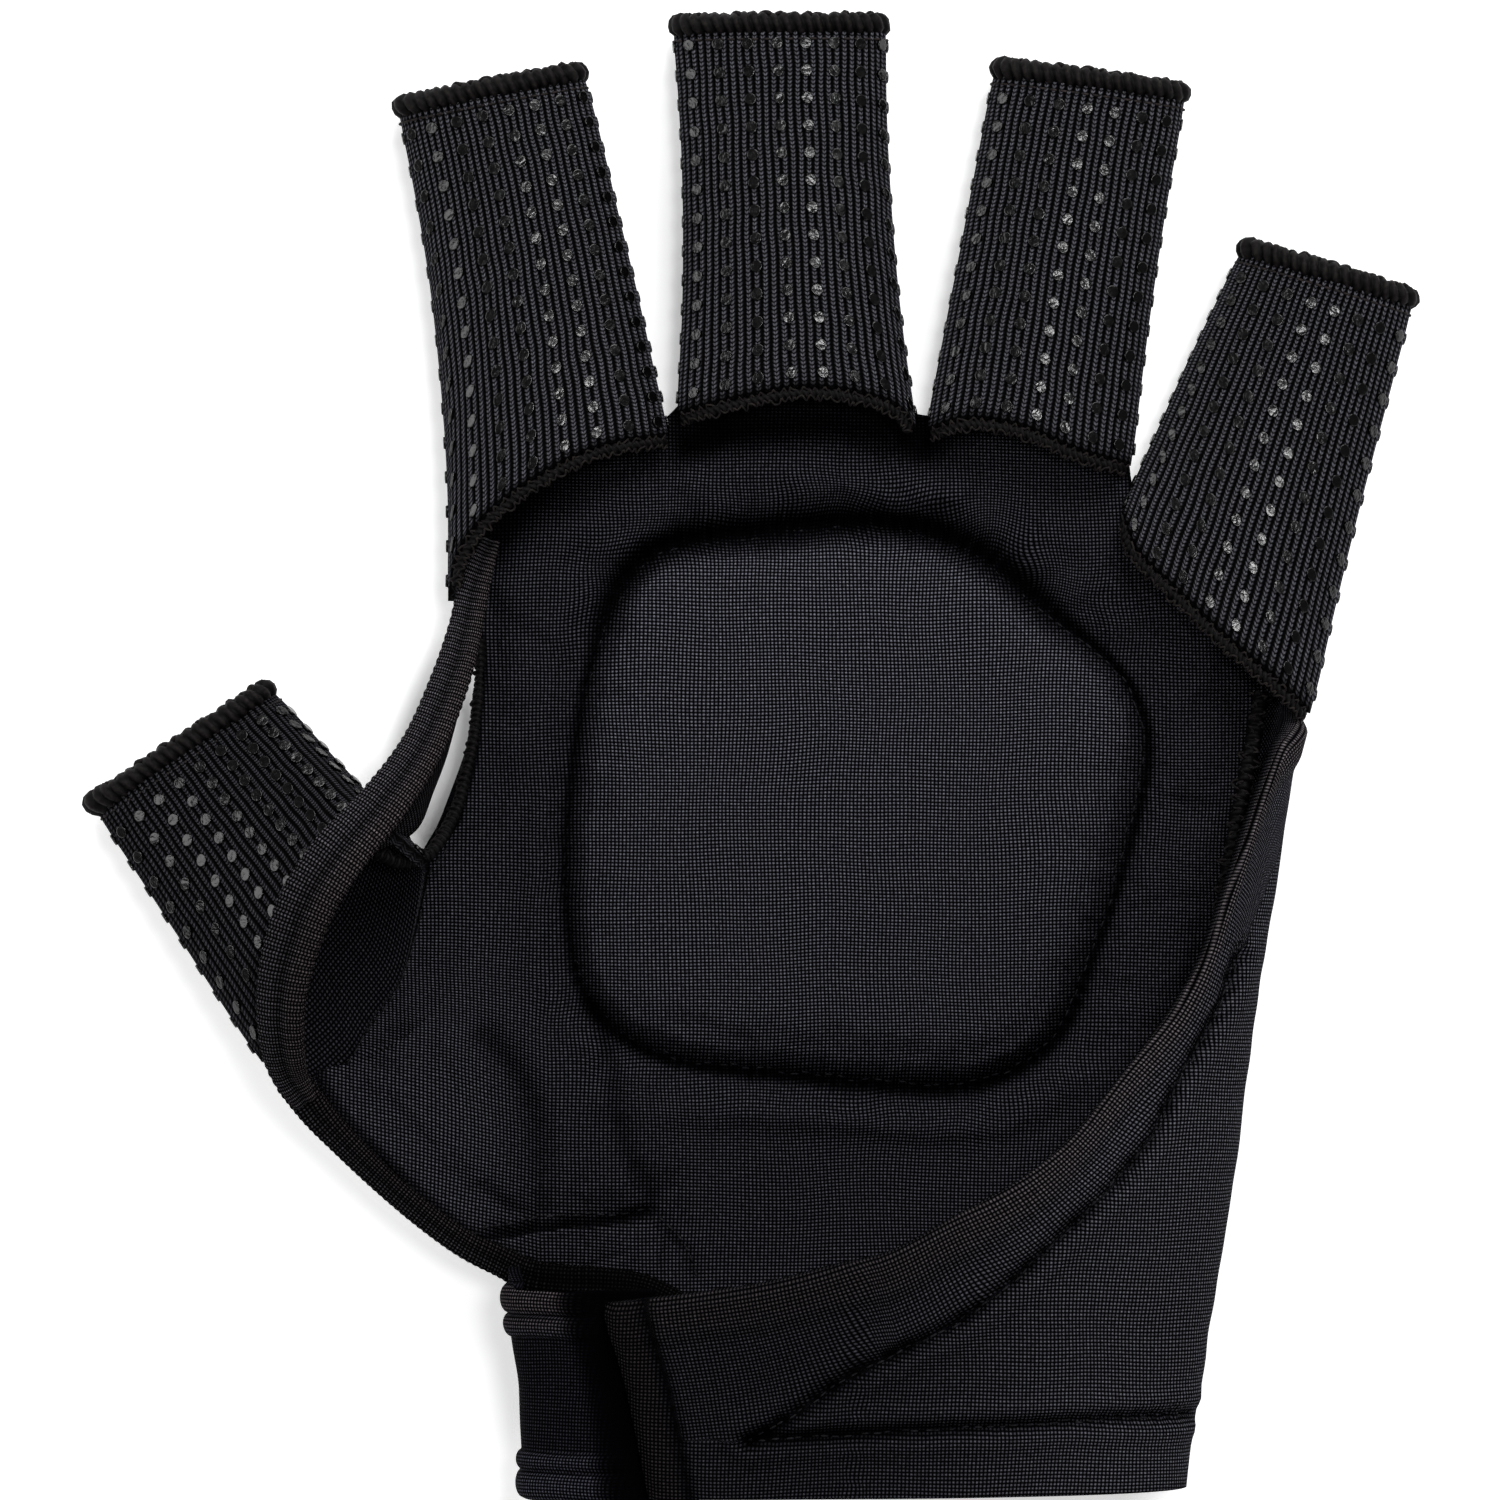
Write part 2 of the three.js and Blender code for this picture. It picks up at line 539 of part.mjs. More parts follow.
// Heel panel: from the side seam round the little-finger side and over to the cuff gusset
function addPanel() {
  const columns = 28;
  const rows = 13;
  const edgeRows = freeEdgePoints.map(({ x, y }) => ({
    share: (loopAngle(x, y) - panelStartAngle) / (panelEndAngle.atFreeEdge - panelStartAngle), y,
  }));
  edgeRows.unshift(...panelShoulder);
  edgeRows.sort((a, b) => a.share - b.share);
  const outer = [];
  for (let i = 0; i <= rows; i += 1) {
    const length = i / rows;
    const endAngle = lerp(panelEndAngle.atFoot, panelEndAngle.atFreeEdge, length);
    const row = [];
    for (let j = 0; j <= columns; j += 1) {
      const share = j / columns;
      const footY = lerp(panelFoot.atSeam, panelFoot.atCuff, share);
      const y = lerp(footY, readTable(edgeRows, 'share', 'y', share), length);
      row.push(loopPoint(lerp(panelStartAngle, endAngle, share), y));
    }
    outer.push(row);
  }
  const inner = insetGrid(outer, () => panelThickness, 1);
  addPiece('heel_panel', wallGeometry(outer, inner, false), foamCloth);
}

// Cuff gusset: tucked under the panel's end, round the thumb side of the wrist and down to the shell
function addGusset() {
  const columns = 13;
  const panelTopY = freeEdgePoints[freeEdgePoints.length - 1].y;
  const outer = gussetRows.map(({ y, bulge }) => {
    const height = clamp((y - panelFoot.atCuff) / (panelTopY - panelFoot.atCuff), 0, 1);
    const endAngle = lerp(panelEndAngle.atFoot, panelEndAngle.atFreeEdge, height);
    return Array.from({ length: columns + 1 }, (_, j) => {
      const angle = lerp(endAngle - gussetTuck, gussetEndAngle, j / columns);
      const clear = smoothstep(angle, endAngle + 1, endAngle + 9);
      const inset = lerp(gussetDepth, 0.6 - bulge * 0.6, clear);
      return loopPoint(angle, y, inset);
    });
  });
  const inner = insetGrid(outer, () => gussetThickness, -1);
  addPiece('cuff_gusset', wallGeometry(outer, inner, false), foamCloth);
}

function addBand(name, rows, thickness, steps, finish) {
  const path = smoothCurve(rows.map(({ x, y, z }) => new THREE.Vector3(x, y, z)), steps);
  const sizes = smoothCurve(rows.map(({ width, dip }) => new THREE.Vector3(width, dip, 0)), steps);
  const bevel = 0.28;
  const sectionAt = (i) => {
    const [half, high] = [sizes[i].x / 2, thickness / 2];
    const corners = [
      [half, high * bevel], [half - high * 0.7, high], [high * 0.7 - half, high], [-half, high * bevel],
      [-half, -high * bevel], [high * 0.7 - half, -high], [half - high * 0.7, -high], [half, -high * bevel],
    ];
    const dip = turn(sizes[i].y);
    return corners.map(([across, lift]) => [
      across * Math.cos(dip) - lift * Math.sin(dip), across * Math.sin(dip) + lift * Math.cos(dip)]);
  };
  addPiece(name, sweptGeometry(path, up, sectionAt, false), finish);
}

function addSideSeam() {
  const steps = 14;
  const path = Array.from({ length: steps + 1 }, (_, k) => (
    loopPoint(sideSeam.angle, lerp(sideSeam.footY, sideSeam.topY, k / steps), sideSeam.inset)));
  const section = roundSection(seamRadius, 6);
  addPiece('side_seam', sweptGeometry(path, up, () => section, false), overlockThread);
}

addShell();
addPad();
addPanel();
addGusset();
addBand('web_band', webBandRows, bandThickness, 34, jersey);
addBand('heel_edge_binding', edgingRows, edgingThickness, 16, jersey);
Object.entries(tubes).forEach(([name, tube]) => {
  addTube(name, tube);
  addTipHem(name, tube);
});
addBaseSeam('index', tubes.index, 16, 172);
addBaseSeam('middle', tubes.middle, 10, 168);
addBaseSeam('ring', tubes.ring, 12, 168);
addBaseSeam('little', tubes.little, 4, 170);
addSideSeam();

export default glove;
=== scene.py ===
# Field hockey glove for the left hand, open palm and half fingers, lying on its padded back.
# Lengths are in millimetres in the tables below and become metres when a mesh is made.

import bpy
import numpy as np
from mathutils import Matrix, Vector


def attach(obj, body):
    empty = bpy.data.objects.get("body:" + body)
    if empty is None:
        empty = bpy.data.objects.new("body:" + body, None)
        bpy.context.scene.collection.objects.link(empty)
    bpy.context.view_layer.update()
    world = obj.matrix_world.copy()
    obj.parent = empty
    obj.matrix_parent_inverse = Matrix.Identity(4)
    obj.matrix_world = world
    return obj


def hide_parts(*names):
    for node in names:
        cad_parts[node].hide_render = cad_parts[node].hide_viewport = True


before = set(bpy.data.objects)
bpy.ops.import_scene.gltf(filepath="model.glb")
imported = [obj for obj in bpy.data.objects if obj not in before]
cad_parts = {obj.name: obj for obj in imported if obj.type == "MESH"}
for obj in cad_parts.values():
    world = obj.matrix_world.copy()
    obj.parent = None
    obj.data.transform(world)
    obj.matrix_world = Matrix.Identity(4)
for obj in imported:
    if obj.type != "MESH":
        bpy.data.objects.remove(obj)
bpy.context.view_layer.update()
mm = 0.001
upwards = np.array([0.0, 0.0, 1.0])


# sRGB hex to linear colour: the low part divided by 12.92, the rest raised to 2.4
def linearColour(hexText):
    values = np.array([int(hexText[i:i + 2], 16) / 255 for i in (1, 3, 5)])
    linear = np.where(values <= 0.04045, values / 12.92, ((values + 0.055) / 1.055) ** 2.4)
    return (*[float(value) for value in linear], 1.0)


# smooth step: 3t^2 - 2t^3 with t running from 0 at low to 1 at high
def smoothStep(value, low, high):
    t = np.clip((value - low) / (high - low), 0, 1)
    return t * t * (3 - 2 * t)


def mix(a, b, share):
    return a + (b - a) * share


def signedPower(value, power):
    return np.sign(value) * np.abs(value) ** power


def unit(vectors):
    return vectors / np.maximum(np.linalg.norm(vectors, axis=-1, keepdims=True), 1e-9)


# a bell of height 1 at distance 0, e to the minus (distance / width) squared
def bell(distance, width):
    return np.exp(-(distance / width) ** 2)


# monotone cubic through a table's rows: Hermite pieces whose slopes are harmonic means
def readTable(at, xs, ys):
    xs, ys = np.array(xs, float), np.array(ys, float)
    if xs[0] > xs[-1]:
        xs, ys = xs[::-1], ys[::-1]
    steps = np.diff(xs)
    slopes = np.diff(ys) / steps
    inner = np.where(slopes[:-1] * slopes[1:] > 0,
                     2 * slopes[:-1] * slopes[1:] / (slopes[:-1] + slopes[1:] + 1e-12), 0)
    ends = np.concatenate([[slopes[0]], inner, [slopes[-1]]])
    i = np.clip(np.searchsorted(xs, at) - 1, 0, len(steps) - 1)
    t = np.clip((at - xs[i]) / steps[i], 0, 1)
    return ((2 * t**3 - 3 * t**2 + 1) * ys[i] + (t**3 - 2 * t**2 + t) * steps[i] * ends[i]
            + (3 * t**2 - 2 * t**3) * ys[i + 1] + (t**3 - t**2) * steps[i] * ends[i + 1])


# lengths along a line from its start: the running sum of its steps
def runLength(line):
    return np.concatenate([[0], np.cumsum(np.linalg.norm(np.diff(line, axis=0), axis=1))])


# centripetal spline through the points, then evenly spaced by its length in plan and height
def smoothLine(points, count, closed=False):
    p = np.array(points, float)
    dims = min(3, p.shape[1])
    p = np.vstack([p[-1], p, p[0], p[1]]) if closed else np.vstack([2 * p[0] - p[1], p, 2 * p[-1] - p[-2]])
    knots = np.concatenate([[0], np.cumsum(np.linalg.norm(np.diff(p[:, :dims], axis=0), axis=1) ** 0.5)])
    share = np.linspace(0, 1, 24, endpoint=False)[:, None]
    parts = []
    for i in range(1, len(p) - 2):
        k0, k1, k2, k3 = knots[i - 1:i + 3]
        t = k1 + share * (k2 - k1)
        a = ((k1 - t) * p[i - 1] + (t - k0) * p[i]) / (k1 - k0)
        b = ((k2 - t) * p[i] + (t - k1) * p[i + 1]) / (k2 - k1)
        c = ((k3 - t) * p[i + 1] + (t - k2) * p[i + 2]) / (k3 - k2)
        d = ((k2 - t) * a + (t - k0) * b) / (k2 - k0)
        e = ((k3 - t) * b + (t - k1) * c) / (k3 - k1)
        parts.append(((k2 - t) * d + (t - k1) * e) / (k2 - k1))
    line = np.vstack([*parts, p[-2][None]])
    lengths = runLength(line[:, :dims])
    at = np.linspace(0, lengths[-1], count + 1 if closed else count)
    line = np.stack([np.interp(at, lengths, line[:, k]) for k in range(line.shape[1])], axis=1)
    return line[:-1] if closed else line


# distance in plan from every point to a line, and how far along the line its nearest point lies
def nearLine(x, y, line):
    best = np.full(x.shape, 1e9)
    along = np.zeros(x.shape)
    travelled = 0.0
    for (ax, ay), (bx, by) in zip(line[:-1, :2], line[1:, :2]):
        length = np.hypot(bx - ax, by - ay)
        t = np.clip(((x - ax) * (bx - ax) + (y - ay) * (by - ay)) / max(length, 1e-9) ** 2, 0, 1)
        away = np.hypot(x - ax - t * (bx - ax), y - ay - t * (by - ay))
        closer = away < best
        best = np.where(closer, away, best)
        along = np.where(closer, travelled + t * length, along)
        travelled += length
    return best, along


# soft uneven value from -1 to 1: a sum of waves in seeded directions
def softNoise(x, y, size, seed, waves=9):
    rng = np.random.default_rng(seed)
    total = np.zeros(np.broadcast(x, y).shape)
    for angle, phase, stretch in rng.random((waves, 3)):
        reach = size * (0.6 + 0.9 * stretch)
        total += np.sin((x * np.cos(angle * np.pi) + y * np.sin(angle * np.pi)) * 2 * np.pi / reach + phase * 2 * np.pi)
    return total / waves ** 0.5 / 1.6


# normals of a grid of points: cross product of its two neighbour differences
def gridNormals(grid, looped=False):
    along = np.gradient(grid, axis=0)
    across = (np.roll(grid, -1, 1) - np.roll(grid, 1, 1)) / 2 if looped else np.gradient(grid, axis=1)
    return unit(np.cross(across, along))


# normals turned to the side that the given vectors point to on average
def turnTowards(normals, outwards):
    return normals * np.sign(np.mean(np.einsum("ijk,ijk->ij", normals, outwards)))


# area of a grid of points: the sum of its cells, each the length of a cross product
def gridArea(grid):
    cells = np.cross(np.diff(grid, axis=0)[:, :-1], np.diff(grid, axis=1)[:-1])
    return float(np.linalg.norm(cells, axis=2).sum())


# one patch of faces: a grid of point numbers with the grid of its pattern coordinates
def patch(numbers, pattern, flip=False):
    cut = lambda g: np.stack([g[:-1, :-1], g[:-1, 1:], g[1:, 1:], g[1:, :-1]], axis=2)
    faces, maps = cut(numbers).reshape(-1, 4), cut(pattern).reshape(-1, 4, 2)
    return (faces[:, ::-1], maps[:, ::-1]) if flip else (faces, maps)


# a fan of triangles from a ring of point numbers to one more point
def fan(ring, centre, flip=False):
    faces = np.stack([ring, np.roll(ring, -1), np.full(len(ring), centre)], axis=1)
    return (faces[:, ::-1] if flip else faces, np.zeros((len(ring), 3, 2)))


# mesh from points, patches and one shade a point; faces are turned outward by the sign of the volume, which is
# the sum of a . (b x c) / 6 over the triangles
def makePiece(name, points, patches, material, values=None, looks=None, warmth=None):
    points = np.column_stack([points[:, :2], np.maximum(points[:, 2], 0)])  # nothing lies below the floor
    corners = np.concatenate([faces.ravel() for faces, _ in patches]).astype(np.int32)
    maps = np.concatenate([m.reshape(-1, 2) for _, m in patches])
    counts = np.concatenate([np.full(len(faces), faces.shape[1]) for faces, _ in patches])
    volume = 0.0
    for faces, _ in patches:
        for k in range(1, faces.shape[1] - 1):
            a, b, c = points[faces[:, 0]], points[faces[:, k]], points[faces[:, k + 1]]
            volume += float(np.einsum("ij,ij->", a, np.cross(b, c))) / 6
    starts = np.concatenate([[0], np.cumsum(counts)[:-1]])
    if volume < 0:
        order = np.concatenate([(faces.shape[1] - 1 - np.arange(faces.shape[1]))[None].repeat(len(faces), 0).ravel()
                                for faces, _ in patches]) + starts.repeat(counts)
        corners, maps = corners[order], maps[order]
    mesh = bpy.data.meshes.new(name)
    mesh.vertices.add(len(points))
    mesh.vertices.foreach_set("co", (points * mm).astype(np.float32).ravel())
    mesh.loops.add(len(corners))
    mesh.loops.foreach_set("vertex_index", corners)
    mesh.polygons.add(len(counts))
    mesh.polygons.foreach_set("loop_start", starts.astype(np.int32))
    mesh.update(calc_edges=True)
    mesh.uv_layers.new(name="cloth").data.foreach_set("uv", maps.astype(np.float32).ravel())
    for key, shade in (("relief", np.ones(len(points)) if values is None else values), ("warmth", warmth)):
        if shade is not None:
            mesh.attributes.new(key, "FLOAT", "POINT").data.foreach_set("value", shade.astype(np.float32).ravel())
    mesh.polygons.foreach_set("use_smooth", np.ones(len(counts), bool))
    for finish in material if isinstance(material, list) else [material]:
        mesh.materials.append(finish)
    if looks:
        numbers = np.repeat(looks, [len(faces) for faces, _ in patches]).astype(np.int32)
        mesh.polygons.foreach_set("material_index", numbers)
    mesh.validate()
    obj = bpy.data.objects.new(name, mesh)
    bpy.context.scene.collection.objects.link(obj)
    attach(obj, "root")
    print(f"made {name}: {int((counts - 2).sum())} triangles, {volume:.0f} cubic mm")
    return obj


# closed wall from an outer and an inner grid with the same columns; the inner one may have fewer rows; the
# pattern on a rim is the length along it beside the depth over it
def wallPatches(outerShape, innerShape, looped, outerMap, innerMap, depth=1.6):
    rows, columns = outerShape

    def rim(line):
        run = runLength(line)
        return np.stack([np.stack([run, 0 * run], axis=1), np.stack([run, 0 * run + depth], axis=1)])

    outer = np.arange(rows * columns).reshape(rows, columns)
    inner = rows * columns + np.arange(innerShape[0] * columns).reshape(innerShape[0], columns)
    if looped:
        outer, inner = [np.concatenate([g, g[:, :1]], axis=1) for g in (outer, inner)]
    made = [patch(outer, outerMap), patch(inner, innerMap, True)]
    made.append(patch(np.stack([outer[0], inner[0]]), rim(outerMap[0]), True))
    made.append(patch(np.stack([outer[-1], inner[-1]]), rim(outerMap[-1])))
    if not looped:
        made.append(patch(np.stack([outer[:, 0], inner[:, 0]]), rim(outerMap[:, 0])))
        made.append(patch(np.stack([outer[:, -1], inner[:, -1]]), rim(outerMap[:, -1]), True))
    return made


# piece made of one closed wall whose two grids are of the same size; only its outer side is warmed
def makeWall(name, outer, inner, pattern, material, values, depth=1.6, warmth=None):
    if warmth is not None:
        warmth = np.concatenate([warmth.ravel(), np.zeros(warmth.size)])
    return makePiece(name, np.concatenate([outer.reshape(-1, 3), inner.reshape(-1, 3)]),
                     wallPatches(outer.shape[:2], inner.shape[:2], False, pattern, pattern, depth),
                     material, values, warmth=warmth)


# section carried along a path: point = path + side * across + lift * high
def sweepGrid(path, reference, section, closed=False):
    if closed:
        tangent = unit(np.roll(path, -1, 0) - np.roll(path, 1, 0))
    else:
        tangent = unit(np.gradient(path, axis=0))
    side = unit(np.cross(np.broadcast_to(reference, path.shape), tangent))
    lift = np.cross(tangent, side)
    return (path[:, None] + side[:, None] * section[..., :1] + lift[:, None] * section[..., 1:]), side, lift


# numbers and patches of a swept grid, with fans at its ends where it isn't a closed ring
def sweepPatches(rows, columns, closed, lengths, roundLength, around=None):
    numbers = np.arange(rows * columns).reshape(rows, columns)
    numbers = np.concatenate([numbers, numbers[:, :1]], axis=1)
    if closed:
        numbers = np.concatenate([numbers, numbers[:1]], axis=0)
        lengths = np.append(lengths, 2 * lengths[-1] - lengths[-2])
    around = np.linspace(0, roundLength, columns + 1) if around is None else around
    made = [patch(numbers, np.stack(np.meshgrid(lengths, around, indexing="ij"), axis=2))]
    if not closed:
        total = rows * columns
        made += [fan(numbers[0, :-1], total, True), fan(numbers[-1, :-1], total + 1)]
    return made


# several parts in one mesh, each with its points, patches and shades; a part's point numbers are moved past
# those of the parts before it
def joinParts(parts):
    first, patches = 0, []
    for points, sets, _ in parts:
        patches += [(faces + first, maps) for faces, maps in sets]
        first += len(points)
    return np.vstack([part[0] for part in parts]), patches, np.concatenate([part[2] for part in parts])


# many copies of one small shape, each placed by its centre and three axes
def scatterShape(points, faceSets, centres, axisA, axisB, axisC):
    placed = (centres[:, None] + points[None, :, :1] * axisA[:, None]
              + points[None, :, 1:2] * axisB[:, None] + points[None, :, 2:] * axisC[:, None])
    shift = (np.arange(len(centres)) * len(points))[:, None, None]
    sets = [((faces[None] + shift).reshape(-1, faces.shape[1]),
             np.zeros((len(faces) * len(centres), faces.shape[1], 2))) for faces in faceSets]
    return placed.reshape(-1, 3), sets


# solid turned round its third axis: rings of the given radii and heights, closed by a point at each end
def turnedShape(radii, heights, ends, sides):
    turn = np.arange(sides) * 2 * np.pi / sides
    rings = np.stack(np.broadcast_arrays(radii[:, None] * np.cos(turn), radii[:, None] * np.sin(turn),
                                         heights[:, None]), axis=2)
    points = np.vstack([rings.reshape(-1, 3), [[0, 0, end] for end in ends]])
    total = len(radii) * sides
    numbers = np.arange(total).reshape(-1, sides)
    numbers = np.concatenate([numbers, numbers[:, :1]], axis=1)
    quads = patch(numbers, np.zeros((*numbers.shape, 2)))[0]
    caps = np.concatenate([fan(numbers[0, :-1], total, True)[0], fan(numbers[-1, :-1], total + 1)[0]])
    return points, [quads, caps]


# a stitch: a capsule along its third axis
def stitchShape(halfLength, radius):
    return turnedShape(np.array([0.6, 1.0, 1.0, 0.6]) * radius, np.array([-0.86, -0.5, 0.5, 0.86]) * halfLength,
                       (-halfLength, halfLength), 6)


# adds one node with its settings, its input values and its links, and gives its first output
def addNode(tree, kind, inputs=None, **settings):
    made = tree.nodes.new("ShaderNode" + kind)
    for key, value in settings.items():
        setattr(made, key, value)
    for key, value in (inputs or {}).items():
        if isinstance(value, bpy.types.NodeSocket):
            tree.links.new(value, made.inputs[key])
        else:
            made.inputs[key].default_value = value
    return made.outputs[0] if made.outputs else None


def maths(tree, operation, *values, clamped=False):
    return addNode(tree, "Math", dict(enumerate(values)), operation=operation, use_clamp=clamped)


def vectorMaths(tree, operation, *values):
    return addNode(tree, "VectorMath", dict(enumerate(values)), operation=operation)


def noise(tree, place, scale, detail, roughness):
    return addNode(tree, "TexNoise", {"Vector": place, "Scale": scale, "Detail": detail, "Roughness": roughness})


# a value brought in a straight line from one range into another
def remap(tree, value, low, high, toLow, toHigh):
    return addNode(tree, "MapRange", {0: value, 1: low, 2: high, 3: toLow, 4: toHigh})


def pointValue(tree, name):
    addNode(tree, "Attribute", attribute_name=name)
    return tree.nodes[-1].outputs["Fac"]


def objectPlace(tree):
    addNode(tree, "TexCoord")
    return tree.nodes[-1].outputs["Object"]


def newMaterial(name):
    material = bpy.data.materials.new(name)
    material.use_nodes = True
    material.node_tree.nodes.clear()
    return material, material.node_tree


def blend(tree, share, low, high):
    addNode(tree, "Mix", {0: share, 6: low, 7: high}, data_type="RGBA")
    return tree.nodes[-1].outputs[2]


# ends a material: height = loops * relief, where the relief attribute also carries each piece's painted shade and
# painted light; colour between shadow and thread by its power, bump from it
def finishCloth(tree, loops, colours, look):
    height = maths(tree, "MULTIPLY", loops, pointValue(tree, "relief"), clamped=True)
    dyed = blend(tree, pointValue(tree, "warmth"), linearColour(colours[1]), linearColour(look["warmColour"]))
    ramp = blend(tree, maths(tree, "POWER", height, look["contrast"]), linearColour(colours[0]), dyed)
    bump = addNode(tree, "Bump", {"Height": height, "Strength": look["bump"], "Distance": look["bumpDepth"] * mm})
    shader = addNode(tree, "BsdfPrincipled", {"Base Color": ramp, "Roughness": look["roughness"], "IOR": 1.5,
                                              "Specular IOR Level": look["gloss"], "Normal": bump})
    addNode(tree, "OutputMaterial", {"Surface": shader})


# polyester jersey: brushed, matt, a square grid of tiny loops that reads as pinheads of grey on black; a loop's
# height is |sine across * sine along| to a power
def jerseyMaterial(name, pitch, colours):
    material, tree = newMaterial(name)
    place = addNode(tree, "UVMap", uv_map="cloth")
    addNode(tree, "TexNoise", {"Vector": place, "Scale": 0.045, "Detail": 1.0})
    drift = tree.nodes[-1].outputs["Color"]
    pulled = vectorMaths(tree, "MULTIPLY_ADD", drift, (2.2, 2.2, 0.0), place)
    scaled = vectorMaths(tree, "MULTIPLY", pulled, (np.pi / pitch[0], np.pi / pitch[1], 0.0))
    addNode(tree, "SeparateXYZ", {0: vectorMaths(tree, "SINE", scaled)})
    across, along = tree.nodes[-1].outputs[:2]
    loops = maths(tree, "POWER", maths(tree, "ABSOLUTE", maths(tree, "MULTIPLY", across, along)), 1.25)
    uneven = remap(tree, noise(tree, place, 1.9, 4.0, 0.75), 0.3, 0.7, 0.5, 1.0)
    finishCloth(tree, maths(tree, "MULTIPLY", loops, uneven), colours, softLook)
    return material


# rib knit: lengthwise ribs are in the mesh; chains of small slanting loops run along each rib
def ribMaterial(name, loopPitch, colours):
    material, tree = newMaterial(name)
    place = addNode(tree, "UVMap", uv_map="cloth")
    addNode(tree, "SeparateXYZ", {0: place})
    across, along = tree.nodes[-1].outputs[:2]
    within = maths(tree, "PINGPONG", across, 0.5)
    phase = maths(tree, "MULTIPLY", maths(tree, "MULTIPLY_ADD", within, 0.8, along), np.pi / loopPitch)
    legs = remap(tree, within, 0.34, 0.5, 1.0, 0.42)
    loops = maths(tree, "MULTIPLY", maths(tree, "ABSOLUTE", maths(tree, "SINE", phase)), legs)
    uneven = remap(tree, noise(tree, place, 2.1, 3.0, 0.65), 0.3, 0.7, 0.55, 1.0)
    finishCloth(tree, maths(tree, "MULTIPLY", loops, uneven), colours, ribLook)
    return material


# spun polyester sewing thread: faint twist, soft lustre, a little browner than the cloth
def threadMaterial(name, colours):
    material, tree = newMaterial(name)
    finishCloth(tree, noise(tree, objectPlace(tree), 1600.0, 3.0, 0.6), colours, threadLook)
    return material


# moulded silicone drops: glossy and black, with faint rings left by the knit below
def siliconeMaterial(name, colour, roughness):
    material, tree = newMaterial(name)
    ripples = noise(tree, objectPlace(tree), 1500.0, 2.0, 0.5)
    gloss = remap(tree, ripples, 0.3, 0.7, *roughness)
    bump = addNode(tree, "Bump", {"Height": ripples, "Strength": 0.85, "Distance": 0.1 * mm})
    shader = addNode(tree, "BsdfPrincipled", {"Base Color": linearColour(colour), "Roughness": gloss, "IOR": 1.43,
                                              "Normal": bump})
    addNode(tree, "OutputMaterial", {"Surface": shader})
    return material


softLook = {"roughness": 0.85, "bump": 0.8, "bumpDepth": 0.18, "contrast": 2.3, "gloss": 0.01, "warmColour": "#93817a"}
ribLook = {"roughness": 0.7, "bump": 0.9, "bumpDepth": 0.16, "contrast": 2.0, "gloss": 0.02, "warmColour": "#8c7f74"}
threadLook = {"roughness": 0.6, "bump": 0.7, "bumpDepth": 0.1, "contrast": 2.2, "gloss": 0.08, "warmColour": "#7a6a5c"}

# loops of 0.44 by 0.39 mm in the lining and 0.40 mm in the band, as counted in the photograph, are drawn
# about a tenth larger, as coarse as they need to be to show
lining = jerseyMaterial("brushed polyester jersey", (0.48, 0.44), ("#010102", "#888895"))
bandCloth = jerseyMaterial("folded jersey binding", (0.46, 0.44), ("#010101", "#8f8a93"))
panelCloth = jerseyMaterial("foam backed jersey", (0.48, 0.46), ("#010102", "#81818c"))
gussetCloth = jerseyMaterial("elastic cuff jersey", (0.46, 0.44), ("#010102", "#686876"))
ribKnit = ribMaterial("polyester rib knit", 0.52, ("#010101", "#9a9aa6"))
overlock = threadMaterial("spun overlock thread", ("#010101", "#403838"))
stitching = threadMaterial("sewing thread", ("#030304", "#303036"))
silicone = siliconeMaterial("black silicone drops", "#020202", (0.14, 0.26))

# the wrist loop's table, the same as in the solids
loopForm = {
    "y": [-93, -80, -68, -52, -32, -12, 6],
    "left": [-29.4, -29.8, -31.2, -31, -31, -31, -31],
    "right": [54.2, 55.8, 57.6, 60.2, 63, 66.2, 69.8],
    "height": [25, 26.5, 28.5, 30, 28, 24, 19],
    "upperPower": 2.6, "lowerPower": 3.2,
}


# left side, right side and height of the loop at a y
def loopSides(y):
    return [readTable(y, loopForm["y"], loopForm[key]) for key in ("left", "right", "height")]


# heel and wrist loop: an oval in x and z whose half axes depend on y, with powers 2/p of cosine and sine
def loopPoint(angle, y, inset=0.0):
    left, right, height = loopSides(y)
    cosine, sine = np.cos(np.radians(angle)), np.sin(np.radians(angle))
    power = 2 / np.where(sine < 0, loopForm["lowerPower"], loopForm["upperPower"])
    x = (left + right) / 2 + ((right - left) / 2 - inset) * signedPower(cosine, power)
    z = height / 2 + (height / 2 - inset) * signedPower(sine, power)
    return np.stack(np.broadcast_arrays(x, y + 0 * x, z), axis=-1)


# angle of the loop's upper side above a place in plan: the arc cosine of the share to the power p/2
def loopAngle(x, y):
    left, right, _ = loopSides(y)
    share = np.clip((x - (left + right) / 2) / ((right - left) / 2), -1, 1)
    return np.degrees(np.arccos(signedPower(share, loopForm["upperPower"] / 2)))


# pattern place on the wrist loop: length round the loop from its top, summed from chords, beside y
def loopPattern(angle, y):
    angles, ys = np.linspace(-40, 215, 256), np.linspace(-94, 10, 27)
    chords = np.linalg.norm(np.diff(loopPoint(angles[None], ys[:, None]), axis=1), axis=2)
    lengths = np.concatenate([np.zeros((27, 1)), np.cumsum(chords, axis=1)], axis=1)
    lengths -= lengths[:, 130:131]
    angle, y = np.broadcast_arrays(angle, y)
    a, b = np.clip((y + 94) / 4, 0, 25.999), np.clip(angle + 40, 0, 254.999)
    i, j = a.astype(int), b.astype(int)
    round0, round1 = [mix(lengths[i + k, j], lengths[i + k, j + 1], b - j) for k in (0, 1)]
    return np.stack([mix(round0, round1, a - i), y], axis=2)


